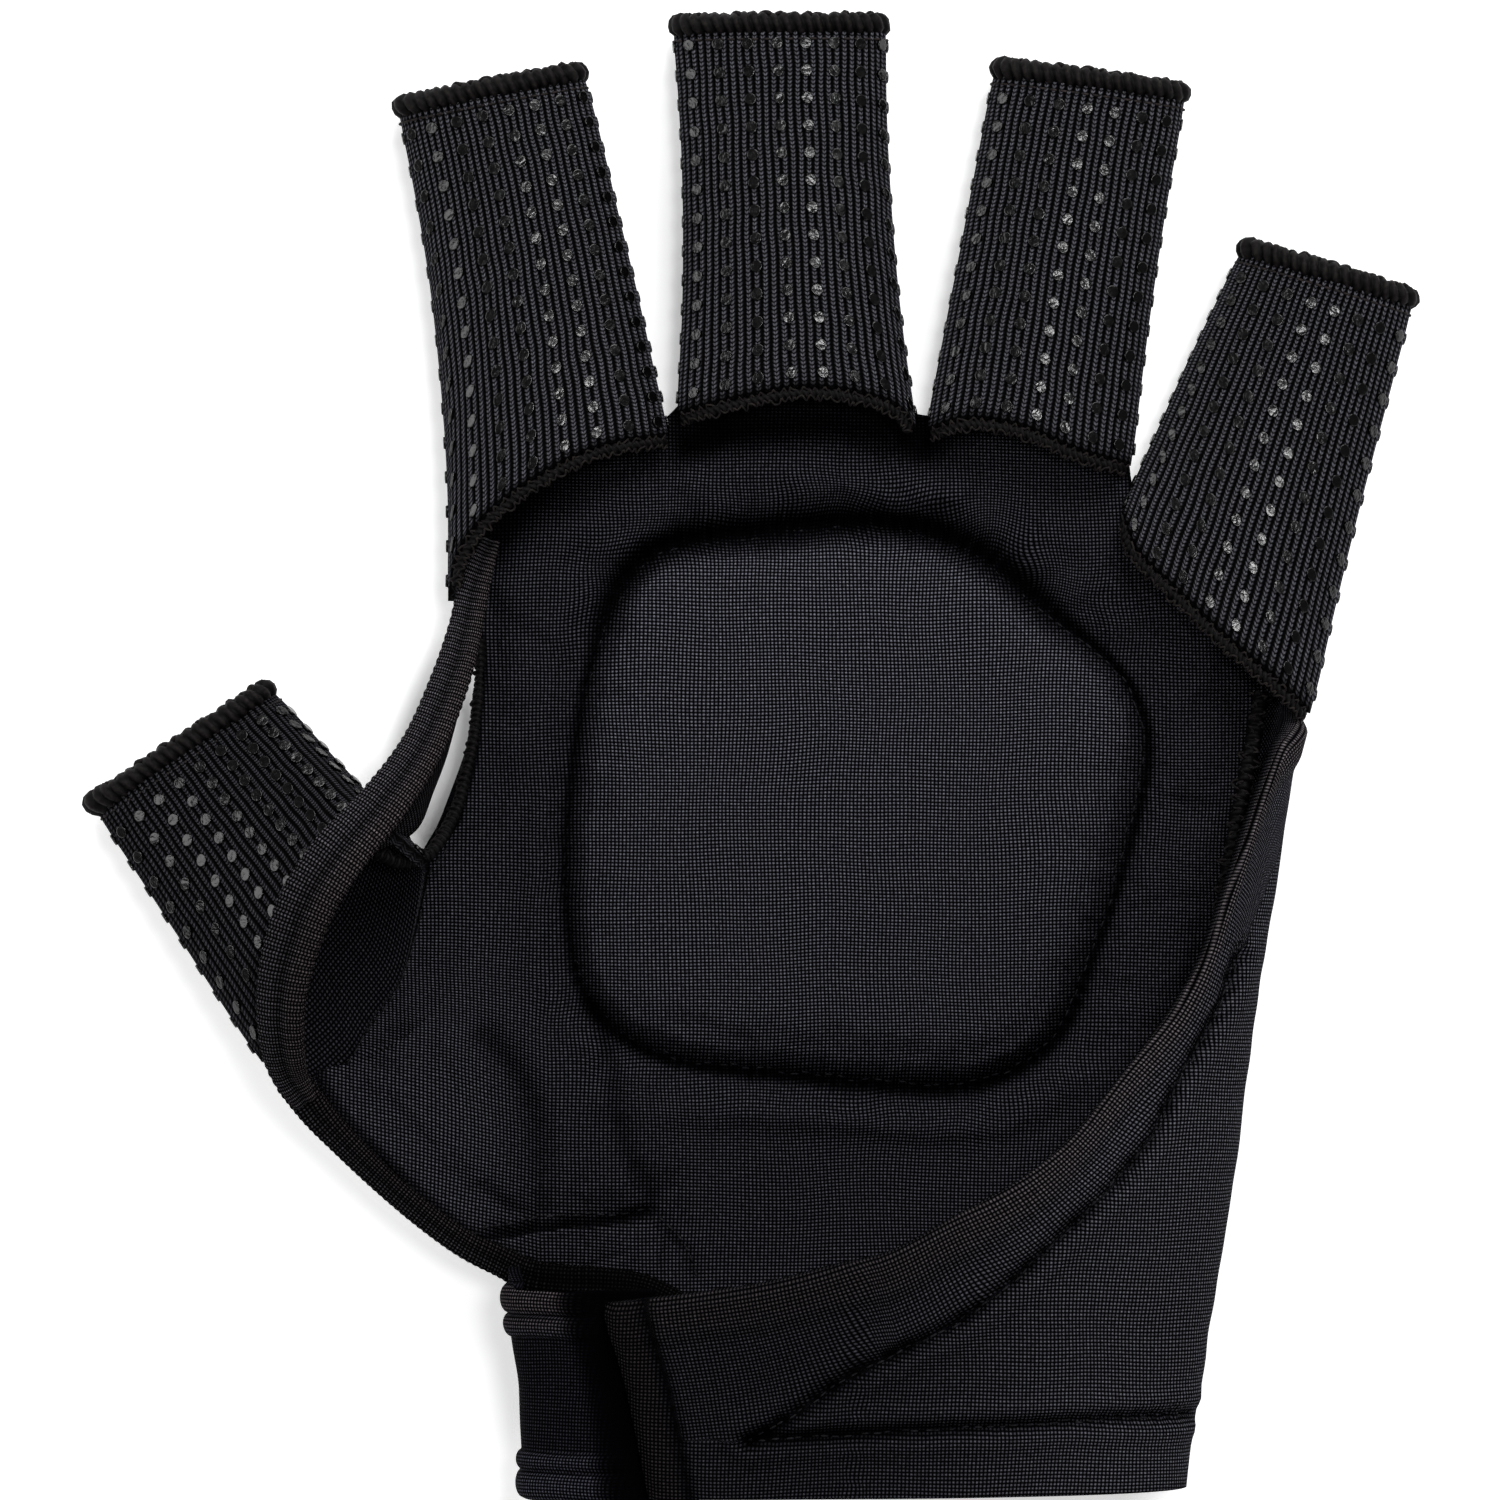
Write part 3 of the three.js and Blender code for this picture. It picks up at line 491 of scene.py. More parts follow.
tubeForms = {
    "index": {
        "tipLeft": (-44.3, 79.9), "tipRight": (-21.1, 84.4), "bow": (2.0, 0.1),
        "palmEdge": [(-38.2, 18.9), (-37.2, 24.4), (-33.8, 29.2), (-27.8, 33.9), (-19.1, 38.2), (-10.6, 39.7)],
        "backEdge": [(-38.2, 18.9), (-34.6, 25.0), (-30.2, 31.6), (-23.8, 37.6), (-16.6, 41.0), (-10.6, 39.7)],
        "base": (7.6, 7.2, 12.4), "tip": (6.0, 10.2), "seam": (16, 172), "shade": 1.0,
    },
    "middle": {
        "tipLeft": (-9.8, 90.2), "tipRight": (16.7, 90.4), "bow": (1.1, -1.2),
        "palmEdge": [(-9.4, 42.4), (-1.6, 44.3), (6.6, 45.6), (13.4, 44.9), (18.4, 43.2), (20.6, 40.6)],
        "backEdge": [(-9.4, 42.4), (-2.2, 47.2), (5.9, 48.7), (14.1, 47.2), (20.6, 40.6)],
        "base": (7.2, 7.2, 12.4), "tip": (6.0, 10.2), "seam": (10, 168), "shade": 1.0,
    },
    "ring": {
        "tipLeft": (30.4, 84.9), "tipRight": (54.2, 81.7), "bow": (0.0, -0.5),
        "palmEdge": [(22.0, 40.4), (26.6, 41.7), (33.4, 40.8), (40.9, 37.7), (47.5, 35.9)],
        "backEdge": [(22.0, 40.4), (27.8, 44.7), (34.7, 45.2), (41.6, 42.4), (47.5, 35.9)],
        "base": (7.2, 7.2, 12.4), "tip": (6.0, 10.2), "seam": (12, 168), "shade": 1.0,
    },
    "little": {
        "tipLeft": (61.3, 62.4), "tipRight": (82.8, 55.8), "bow": (-0.2, -0.3),
        "palmEdge": [(46.4, 29.9), (48.1, 25.4), (53.4, 19.9), (59.7, 13.9), (65.9, 8.7), (69.9, 4.8)],
        "backEdge": [(46.4, 29.9), (51.8, 27.1), (59.1, 20.2), (65.5, 12.6), (69.9, 4.8)],
        "base": (7.2, 8.8, 12.4), "tip": (6.2, 10.2), "seam": (4, 170), "shade": 1.0,
    },
    "thumb": {
        "tipLeft": (-82.2, -7.6), "tipRight": (-60.0, 7.2), "bow": (0.0, 0.0),
        "palmEdge": [(-61.3, -38.8), (-59.6, -31.1), (-57.6, -24.8), (-53.8, -16.7), (-47.6, -8.8), (-40.3, -13.8)],
        "backEdge": [(-61.3, -38.8), (-56.6, -42.6), (-50.9, -38.8), (-47.8, -33.8), (-44.1, -28.6),
                     (-42.2, -22.3), (-40.9, -16.7), (-40.3, -13.8)],
        "base": (14.0, 14.0, 15.5), "tip": (7.8, 10.2), "seam": None, "shade": 0.68,
    },
}
tubeFullness = 0.72
tubeWall = 1.3


def tubeAxis(form):
    base = (np.array(form["palmEdge"][0]) + np.array(form["palmEdge"][-1])) / 2
    tip = (np.array(form["tipLeft"]) + np.array(form["tipRight"])) / 2
    return unit(tip - base)


# a tube's outside: base edge and tip edge joined straight, z = middle + half height * |sine|^fullness
def tubePoint(form, angle, length):
    angle, length = np.broadcast_arrays(np.asarray(angle, float), np.asarray(length, float))
    sine = np.sin(np.radians(angle))
    share = (1 - np.cos(np.radians(angle))) / 2
    axis = tubeAxis(form)
    across = np.array([axis[1], -axis[0]])
    start = np.dot(form["palmEdge"][0], across)
    width = np.dot(form["palmEdge"][-1], across) - start
    edges = []
    for key in ("palmEdge", "backEdge"):
        line = smoothLine(form[key], 120)
        shares = (line @ across - start) / width
        order = np.argsort(shares)
        edges.append(np.stack([np.interp(share, shares[order], line[order, k]) for k in (0, 1)], axis=-1))
    base = np.where((sine >= 0)[..., None], edges[0], edges[1])
    tip = mix(np.array(form["tipLeft"]), np.array(form["tipRight"]), share[..., None])
    bow = mix(form["bow"][0], form["bow"][1], share) * 4 * length * (1 - length)
    plan = mix(base, tip, length[..., None]) + across * bow[..., None]
    leftZ, rightZ, baseHeight = form["base"]
    tipZ, tipHeight = form["tip"]
    z = (mix(mix(leftZ, rightZ, share), tipZ, length)
         + mix(baseHeight, tipHeight, length) / 2 * signedPower(sine, tubeFullness))
    return np.concatenate([plan, z[..., None]], axis=-1)


# outward from the wall at the base edge, and away from the tube in the wall's own plane
def baseDirections(form, angle):
    axis = np.append(tubeAxis(form), 0)
    along = unit(tubePoint(form, angle + 2, 0) - tubePoint(form, angle - 2, 0))
    outward = unit(np.cross(along, axis))
    return outward, unit(np.cross(along, outward))


# the lining is tucked a little way into each tube, inside its wall
def liningSeat(form, angle):
    outward, away = baseDirections(form, angle)
    return tubePoint(form, angle, 0.0) - away * 1.6 - outward * 0.7


tubeLook = {"ribPitch": 1.0, "ribHeight": 0.46, "samples": 7, "rows": 47, "innerRows": 14, "dotPitch": 3.5,
            "dotEvery": 3.6, "dotRadius": 0.78, "dotHeight": 0.2, "dotSides": 12, "hemRadius": 1.35,
            "hemThread": 1.25, "seamRadius": 1.0, "rollSides": 12, "rollSteps": 7, "threadSides": 5,
            "wander": 0.12, "drift": 0.08, "rimShade": 0.15, "insideShade": 0.55, "swell": 0.36, "turnShift": 0.55}
dotRings = np.array([[1.0, 1.0, 0.95, 0.88, 0.8], [-1.0, 0.5, 0.9, 1.0, 1.0]])  # radius and height, as shares


# angles evenly spaced by their length round a tube, and the girth
def tubeAngles(form, count):
    fine = np.linspace(0, 360, 1441)
    lengths = runLength(tubePoint(form, fine, 0.5))
    return np.interp(np.arange(count) / count * lengths[-1], lengths, fine), lengths[-1]


# ribbed tube: point = place on the tube + normal * (rib height * (|sine|^0.8 - 0.55) + drift - gather at the ends)
def makeTube(name, form, seed):
    _, girth = tubeAngles(form, 10)
    ribs = int(round(girth / tubeLook["ribPitch"]))
    samples, rows = tubeLook["samples"], tubeLook["rows"]
    angles, _ = tubeAngles(form, ribs * samples)
    lengths = np.linspace(0, 1, rows)
    grid = tubePoint(form, angles[None], lengths[:, None])
    normals = turnTowards(gridNormals(grid, True), grid - grid.mean(axis=1, keepdims=True))
    tall = np.linalg.norm(grid[-1] - grid[0], axis=1).mean()
    along = lengths[:, None] * tall
    phase = np.arange(ribs * samples)[None] / samples
    wander = softNoise(phase * 0.9, along, 9, seed + 3) * tubeLook["wander"]  # in ribs; none where the ring closes
    wander = wander * smoothStep(np.minimum(phase, ribs - phase), 0, 3)
    profile = np.abs(np.sin(np.pi * (phase + wander))) ** 0.8  # valleys at whole numbers
    drift = softNoise(phase * 1.1, along, 26, seed) * tubeLook["drift"]
    gather = bell(along, 2.2) * 0.5 + bell(tall - along, 1.6) * 0.35
    outer = grid + normals * ((profile - 0.55) * tubeLook["ribHeight"] * (1 - 0.35 * gather) + drift * (1 - gather)
                              - gather * 0.25)[..., None]
    innerRows = np.linspace(0, 1, tubeLook["innerRows"])
    pick = np.round(innerRows * (rows - 1)).astype(int)
    inner = tubePoint(form, angles[None], innerRows[:, None]) - normals[pick] * tubeWall
    u = np.arange(ribs * samples + 1) / samples
    outerMap, innerMap = [np.stack(np.meshgrid(share * tall, u, indexing="ij")[::-1], axis=2)
                          for share in (lengths, innerRows)]
    outerMap[:, :-1, 0] += wander
    rimShade = mix(tubeLook["rimShade"], 1.0, smoothStep(along, 0.3, 1.2))
    relief = np.concatenate([(profile**3.1 * rimShade * form["shade"]).ravel(),
                             np.full(inner[..., 0].size, tubeLook["insideShade"])])
    tube = makePiece(f"{name}.tube.ribs", np.concatenate([outer.reshape(-1, 3), inner.reshape(-1, 3)]),
                     wallPatches(outer.shape[:2], inner.shape[:2], True, outerMap, innerMap),
                     [ribKnit, lining], relief, [0, 1, 0, 0])
    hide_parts(f"{name}_tube")
    return tube, girth, tall


# drops in a square array: one column every few ribs round the tube, rows along its length
def makeDots(name, form, girth, tall):
    columns = int(round(girth / (tubeLook["ribPitch"] * tubeLook["dotEvery"])))
    rows = int(tall // tubeLook["dotPitch"])
    angles = tubeAngles(form, columns)[0][None]
    lengths = (np.arange(rows) + 0.55) * tubeLook["dotPitch"] / tall
    lengths = lengths[lengths < 1 - 1.0 / tall][:, None]
    spots = tubePoint(form, angles + 4, lengths)
    forward = unit(tubePoint(form, angles + 4, lengths + 0.02) - spots)
    around = unit(tubePoint(form, angles + 6, lengths) - tubePoint(form, angles + 2, lengths))
    normals = turnTowards(unit(np.cross(around, forward)), spots - spots.mean(axis=1, keepdims=True))
    radius, height = dotRings[0] * tubeLook["dotRadius"], dotRings[1] * tubeLook["dotHeight"]
    shape, faces = turnedShape(radius, height, height[[0, -1]], tubeLook["dotSides"])
    clear = ((spots + normals * 0.7)[..., 2] > 0.1).ravel()  # none where the tube lies on the floor
    placed = [grid.reshape(-1, 3)[clear] for grid in (spots + normals * 0.23, around, forward, normals)]
    points, sets = scatterShape(shape, faces, *placed)
    return makePiece(f"{name}.tube.dots", points, sets, silicone)


# rolled overlock hem: a roll whose radius swells over slanting threads, as |sine|^0.8 of its phase
def makeRoll(path, reference, radius, closed, threadPitch, seed, shade, lump=0.0, slant=3.0):
    length = runLength(path)[-1]
    count = int(length / threadPitch * tubeLook["rollSteps"])
    line = smoothLine(path, count, closed)
    steps = np.linspace(0, length, count, endpoint=not closed)
    sides = tubeLook["rollSides"]
    turn = np.arange(sides) * 2 * np.pi / sides
    turns = max(1, round(length / threadPitch))
    calm = smoothStep(np.minimum(steps, length - steps), 0, 4)  # keeps a closed roll's two ends together
    shifted = tubeLook["turnShift"] * softNoise(steps, 0, 7, seed + 5) * calm
    phase = (steps * turns / length * np.pi + shifted)[:, None]
    ridge = np.abs(np.sin(phase + slant * np.sin(turn)[None] * 0.5)) ** 0.8
    uneven = softNoise(steps[:, None], turn[None] * 3, 5, seed) * 0.12
    swell = 1 + lump * bell(steps - length * 0.03, 3.0)[:, None]
    size = radius * swell * (0.70 + tubeLook["swell"] * ridge + uneven)
    grid, side, lift = sweepGrid(line, reference, np.stack([size * np.cos(turn), size * np.sin(turn)], axis=2), closed)
    points, values = grid.reshape(-1, 3), (ridge ** 1.5).ravel()
    if not closed:
        points, values = np.vstack([points, line[[0, -1]]]), np.append(values, [0.4, 0.4])
    patches = sweepPatches(count, sides, closed, steps, 2 * np.pi * radius)
    return (points, patches, values * shade), line, side, lift, steps


# thin looper thread that swings from side to side along a line: across = reach * |sine|, high = lift
def loopThread(line, side, lift, steps, pitch, reach, base, high, radius, shade, closed=False):
    wander = steps + 0.22 * np.sin(steps * 1.7) + 0.14 * np.sin(steps * 4.1 + 1)
    sweep = np.abs(np.sin(np.pi * wander / pitch)) * (1 + 0.4 * np.sin(steps * 2.3) * np.sin(steps * 0.9))
    path = line + side * (base + reach * sweep)[:, None] + lift * (high * (1 - 0.6 * sweep))[:, None]
    count, sides = len(line), tubeLook["threadSides"]
    turn = np.arange(sides) * 2 * np.pi / sides
    section = np.broadcast_to(np.stack([radius * np.cos(turn), radius * np.sin(turn)], axis=1), (count, sides, 2))
    points = sweepGrid(path, upwards, section, closed)[0].reshape(-1, 3)
    if not closed:
        points = np.vstack([points, path[[0, -1]]])
    return points, sweepPatches(count, sides, closed, steps, 2), np.full(len(points), shade)


# overlocked piece of several parts in one mesh, which may stand in for a solid
def makeSewn(name, parts, node=None):
    points, patches, values = joinParts(parts)
    piece = makePiece(name, points, patches, overlock, values)
    if node:
        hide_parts(node)
    return piece


# tip hem: a closed roll on the tube's end with its looper thread, and a ring of stitches on the tube beside it
def makeTipHem(name, form, seed):
    axis = np.append(tubeAxis(form), 0)
    radius = tubeLook["hemRadius"]
    ring = tubePoint(form, tubeAngles(form, 90)[0], 1.0)
    centre = np.array([*(np.array(form["tipLeft"]) + np.array(form["tipRight"])) / 2, form["tip"][0]])
    path = ring + unit(centre - ring) * tubeWall / 2 + axis * (radius - 0.35)
    lump = 0.28 if name == "thumb" else 0.12
    roll, line, side, lift, steps = makeRoll(path, axis, radius, True, tubeLook["hemThread"], seed, 0.8, lump, 2.0)
    thread = loopThread(line, lift, side, steps, steps[-1] / round(steps[-1] / 1.7), 0.45, radius * 0.55,
                        radius * 0.45, 0.36, 0.72, True)
    spots = tubePoint(form, tubeAngles(form, 46)[0], 1.0) - axis * 1.0
    normals = unit(spots - centre - axis * np.dot(spots - centre, axis)[:, None])
    spots = spots + normals * 0.24
    around = unit(np.roll(spots, -1, 0) - np.roll(spots, 1, 0))
    stitch, sets = scatterShape(*stitchShape(0.5, 0.15), spots, np.broadcast_to(axis, spots.shape), normals, around)
    return makeSewn(f"{name}.tip.hem", [roll, thread, (stitch, sets, np.full(len(stitch), 1.1))], f"{name}_tip_hem")


# base seam: a roll along the tube's palm side, inside its wall, with two looper threads
def makeBaseSeam(name, form, seed):
    axis = np.append(tubeAxis(form), 0)
    radius = tubeLook["seamRadius"]
    angles = np.linspace(*form["seam"], 60)
    outward, away = baseDirections(form, angles)
    path = tubePoint(form, angles, 0.0) - outward * tubeWall / 2 + away * (radius - 0.3)
    roll, line, _, _, steps = makeRoll(path, axis, radius * 0.7, False, 0.8, seed, 0.6)
    outwards, aways = [np.stack([np.interp(np.linspace(0, 1, len(line)), np.linspace(0, 1, 60), v[:, k])
                                 for k in range(3)], axis=1) for v in (outward, away)]
    threads = [loopThread(line, aways, outwards, steps, 0.95, 0.6, radius * 0.3, radius * 0.65, 0.15, 0.9),
               loopThread(line, aways, outwards, steps + 0.5, 1.3, 0.7, -radius * 0.8, radius * 0.8, 0.14, 0.9)]
    return makeSewn(f"{name}.base.seam", [roll, *threads], f"{name}_base_seam")


for seed, (name, form) in enumerate(tubeForms.items()):
    tube, girth, tall = makeTube(name, form, 11 + seed)
    parts = [makeDots(name, form, girth, tall), makeTipHem(name, form, 31 + seed)]
    if form["seam"]:
        parts.append(makeBaseSeam(name, form, 51 + seed))
print("finger tubes done")


liningForm = {
    "thickness": 5.5, "edgeThickness": 2.4, "edgeFade": 13.0, "thumbRise": 20.0, "rootBlend": 13.0,
    "padCrown": 3.4, "grooveDepth": 1.3, "grooveWidth": 0.52, "rows": 250, "columns": 190, "thumbEdge": 1.2,
    "stitchPitch": 2.1, "gatherPitch": 1.5, "puckerPitch": 6.6, "puckerHeight": 0.32, "shoulder": 0.9,
    "heelStep": 0.9, "uneven": 0.35, "backGroove": 1.2, "knitPull": 0.7, "knitSlope": 0.26,
}
# painted shade and painted light on the lining, as factors of its loops' brightness
liningShade = {"aroundPad": 0.745, "padFoot": 0.92, "padTop": 1.06, "gathers": 0.2, "groove": 0.72, "lines": 0.6,
               "creases": 0.22, "thumbEdge": 0.5, "crotchEdge": 0.3, "thumbSideLight": 1.12, "root": 0.38,
               "underMiddle": 0.2, "notch": 0.75, "underside": 0.8}
thumbSide = np.array([
    (-24.6, -92.0, 4.7, -92.0), (-24.8, -84.0, 4.9, -84.0), (-25.0, -76.0, 5.0, -76.0), (-25.0, -70.0, 5.0, -70.0),
    (-25.4, -66.2, 5.4, -65.5), (-28.4, -65.4, 7.0, -62.0), (-32.0, -64.2, 8.8, -58.5), (-37.0, -61.4, 9.8, -54.5),
    (-42.3, -57.2, 10.4, -50.0), (-47.5, -52.1, 10.8, -45.5), (-52.0, -47.4, 10.6, -41.5)])
thumbSeats = np.array([(0.10, -37.5), (0.24, -33.5), (0.40, -29.5), (0.56, -25.0), (0.74, -20.0), (0.90, -15.0),
                       (0.98, -11.0)])
crotchSide = np.array([(-39.5, -9.2, 10.2, -7.5), (-37.8, -4.8, 8.6, -4.5), (-35.5, 2.1, 6.6, -0.5),
                       (-34.3, 8.3, 4.6, 3.5), (-34.1, 13.0, 4.0, 6.5)])
fingerAngles = [20, 36, 54, 72, 90, 108, 126, 160]
rootAngles = {"index": fingerAngles, "middle": fingerAngles, "ring": fingerAngles, "little": fingerAngles[:6]}
padOutline = [(-12.8, 23.9), (2.0, 27.0), (18.4, 27.9), (27.5, 24.8), (37.2, 17.1), (46.5, 9.2), (49.1, 1.6),
              (46.6, -12.3), (42.2, -26.1), (37.2, -36.4), (28.4, -41.4), (5.9, -40.4), (-12.8, -37.3),
              (-20.8, -30.1), (-23.2, -18.6), (-22.2, -1.1), (-19.1, 13.9)]


# underside: a patch stretched between four edges, across + along - corners, as in the solids but with smooth
# edges; it rises to the little-finger side as the wrist loop does, to the thumb and to the tubes
def liningUnderside():
    backAngle = lambda share: 360 - np.degrees(np.arccos(1 - 2 * share))
    seats = liningSeat(tubeForms["thumb"], backAngle(thumbSeats[:, 0]))
    shares = {name: (1 - np.cos(np.radians(angles))) / 2 for name, angles in rootAngles.items()}
    front = np.vstack([liningSeat(tubeForms[name], backAngle(share)) for name, share in shares.items()])
    leftRows = np.vstack([thumbSide, np.column_stack([seats, thumbSeats[:, 1]]), crotchSide, [[*front[0], 9.2]]])
    rows, columns = liningForm["rows"], liningForm["columns"]
    index = np.arange(len(leftRows))
    at = np.linspace(0, len(leftRows) - 1, rows)
    left = np.stack([readTable(at, index, leftRows[:, k]) for k in range(4)], axis=1)
    right = loopPoint(-32.0, left[:, 3])
    left = left[:, :3]
    front = smoothLine(front, columns)
    settle = smoothStep(np.linspace(0, 1, rows), 0.94, 1.0)[:, None]
    right = mix(right, front[-1], settle)
    foot = mix(left[0], right[0], np.linspace(0, 1, columns)[:, None])
    u, v = np.linspace(0, 1, columns)[None, :, None], np.linspace(0, 1, rows)[:, None, None]
    plan = (mix(left[:, None], right[:, None], u) + mix(foot[None], front[None], v)
            - mix(mix(left[0], right[0], u), mix(left[-1], right[-1], u), v))
    x, y = plan[..., 0], plan[..., 1]
    loopLeft, loopRight, height = loopSides(y)
    share = np.clip((x - (loopLeft + loopRight) / 2) / ((loopRight - loopLeft) / 2), 0, 1)
    p = loopForm["lowerPower"]
    littleSide = height / 2 * (1 - (1 - share**p) ** (1 / p)) * smoothStep(share, 0.55, 0.8)
    fromLeft = np.hypot(x - left[:, None, 0], y - left[:, None, 1])
    thumbRise = left[:, None, 2] * (1 - np.clip(fromLeft / liningForm["thumbRise"], 0, 1)) ** 2.2
    fromFront = np.hypot(x - front[None, :, 0], y - front[None, :, 1])
    rootShare = 1 - smoothStep(fromFront, 0, liningForm["rootBlend"])
    z = mix(np.maximum(littleSide, thumbRise), front[None, :, 2], rootShare)
    return np.stack([x, y, z], axis=2)


# whether places lie inside a closed line: the parity of its crossings to their right
def insideOf(x, y, line):
    inside = np.zeros(x.shape, bool)
    for (ax, ay), (bx, by) in zip(line, np.roll(line, -1, 0)):
        crosses = ((ay > y) != (by > y)) & (x < (bx - ax) * (y - ay) / (by - ay + 1e-12) + ax)
        inside ^= crosses
    return inside


# sewn and folded lines in the lining: depth (below 0) or height, width, and the line in plan
liningLines = [
    (-1.7, 0.8, [(-36.4, -61.0), (-31.6, -59.3), (-24.1, -58.4), (-16.6, -58.2), (-12.8, -57.7)]),
    (-0.7, 1.0, [(-11.4, -58.9), (-10.3, -60.1), (-8.4, -62.3), (-7.2, -65.4)]),
    (-1.25, 1.5, [(-34.1, -36.1), (-31.6, -38.6), (-29.1, -42.3), (-27.2, -47.3), (-25.9, -52.3), (-25.3, -56.1)]),
    (-1.15, 1.5, [(-20.3, -32.3), (-17.8, -38.6), (-17.2, -43.6), (-15.9, -49.8), (-12.8, -56.1)]),
    (1.0, 2.0, [(-37.5, -37.0), (-34.8, -42.0), (-32.0, -48.0), (-30.5, -54.0)]),
    (1.1, 2.4, [(-30.6, -34.0), (-27.4, -39.0), (-24.6, -45.0), (-22.9, -52.0)]),
    (1.4, 2.8, [(-6.6, 33.9), (2.2, 34.9), (13.4, 34.6), (24.7, 32.2)]),
    (-1.4, 2.4, [(-8.0, 38.6), (0.0, 40.4), (9.0, 41.2), (16.0, 40.2)]),
    (-1.8, 2.0, [(18.4, 39.0), (20.6, 37.6), (22.4, 38.6)]),
    (0.9, 2.6, [(-30.3, 8.9), (-26.6, 22.7), (-19.1, 30.2), (-10.3, 33.9)]),
    (0.8, 2.6, [(27.2, 32.9), (37.2, 27.7), (48.4, 17.7), (55.9, 8.9)]),
    (0.9, 2.0, [(-19.1, -44.1), (-5.3, -45.3), (12.2, -46.0), (30.9, -46.2), (39.9, -41.8)]),
]


# a grid evened out by taking the mean of each point and its four neighbours, several times
def evenOut(grid, rounds):
    for _ in range(rounds):
        padded = np.pad(grid, ((1, 1), (1, 1), (0, 0)), mode="edge")
        grid = (padded[:-2, 1:-1] + padded[2:, 1:-1] + padded[1:-1, :-2] + padded[1:-1, 2:] + grid) / 5
    return grid


# the same with the four edges kept where they are
def evenInside(grid, rounds):
    for _ in range(rounds):
        inside = evenOut(grid, 1)
        inside[[0, -1]], inside[:, [0, -1]] = grid[[0, -1]], grid[:, [0, -1]]
        grid = inside
    return grid


simScale = 10.0  # the cloth is simulated ten times as large, where its stiffness values behave well
simForm = {"step": 2, "cap": 1.3, "holds": 4, "frames": 20}
simSettings = {"quality": 6, "mass": 0.15, "tension_stiffness": 12, "compression_stiffness": 12,
               "shear_stiffness": 4, "bending_stiffness": 0.15, "vertex_group_mass": "sewn", "pin_stiffness": 1.0,
               "use_pressure": True, "uniform_pressure_force": 3.0, "shrink_min": -0.03}


# cloth simulation of the lining on every second point: it swells under a light pressure and is 3% too
# large for its sewn lines, so it puckers along them; the movement is capped and spread to the fine grid
def swellLining(top, held):
    step, holds = simForm["step"], simForm["holds"]
    coarse, pins = top[::step, ::step], held[::step, ::step]
    rows, columns = coarse.shape[:2]
    faces = patch(np.arange(rows * columns).reshape(rows, columns), np.zeros((rows, columns, 2)))[0]
    mesh = bpy.data.meshes.new("lining.cloth")
    mesh.from_pydata((coarse.reshape(-1, 3) * mm * simScale).tolist(), [], faces.tolist())
    obj = bpy.data.objects.new("lining.cloth", mesh)
    bpy.context.scene.collection.objects.link(obj)
    group = obj.vertex_groups.new(name="sewn")
    for level in range(1, holds + 1):
        chosen = np.nonzero(np.round(pins.ravel() * holds) == level)[0]
        group.add(chosen.tolist(), level / holds, "REPLACE")
    cloth = obj.modifiers.new("cloth", "CLOTH")
    for key, value in simSettings.items():
        setattr(cloth.settings, key, value)
    cloth.settings.effector_weights.gravity = 0
    cloth.point_cache.frame_start, cloth.point_cache.frame_end = 1, simForm["frames"]
    for number in range(1, simForm["frames"] + 1):
        bpy.context.scene.frame_set(number)
    shaped = obj.evaluated_get(bpy.context.evaluated_depsgraph_get()).to_mesh()
    moved = np.zeros(rows * columns * 3, np.float32)
    shaped.vertices.foreach_get("co", moved)
    move = moved.reshape(rows, columns, 3) / mm / simScale - coarse
    bpy.data.objects.remove(obj)
    bpy.context.scene.frame_set(1)
    reach = np.linalg.norm(move, axis=2, keepdims=True)
    print(f"lining cloth moved {reach.mean():.2f} mm on average and {reach.max():.2f} mm at most")
    move = move * np.minimum(1, simForm["cap"] / np.maximum(reach, 1e-9))
    atRow = np.linspace(0, rows - 1, top.shape[0])
    atColumn = np.linspace(0, columns - 1, top.shape[1])
    i, j = np.minimum(atRow.astype(int), rows - 2), np.minimum(atColumn.astype(int), columns - 2)
    a, b = (atRow - i)[:, None, None], (atColumn - j)[None, :, None]
    corner = lambda di, dj: move[(i + di)[:, None], (j + dj)[None, :]]
    return mix(mix(corner(0, 0), corner(0, 1), b), mix(corner(1, 0), corner(1, 1), b), a)


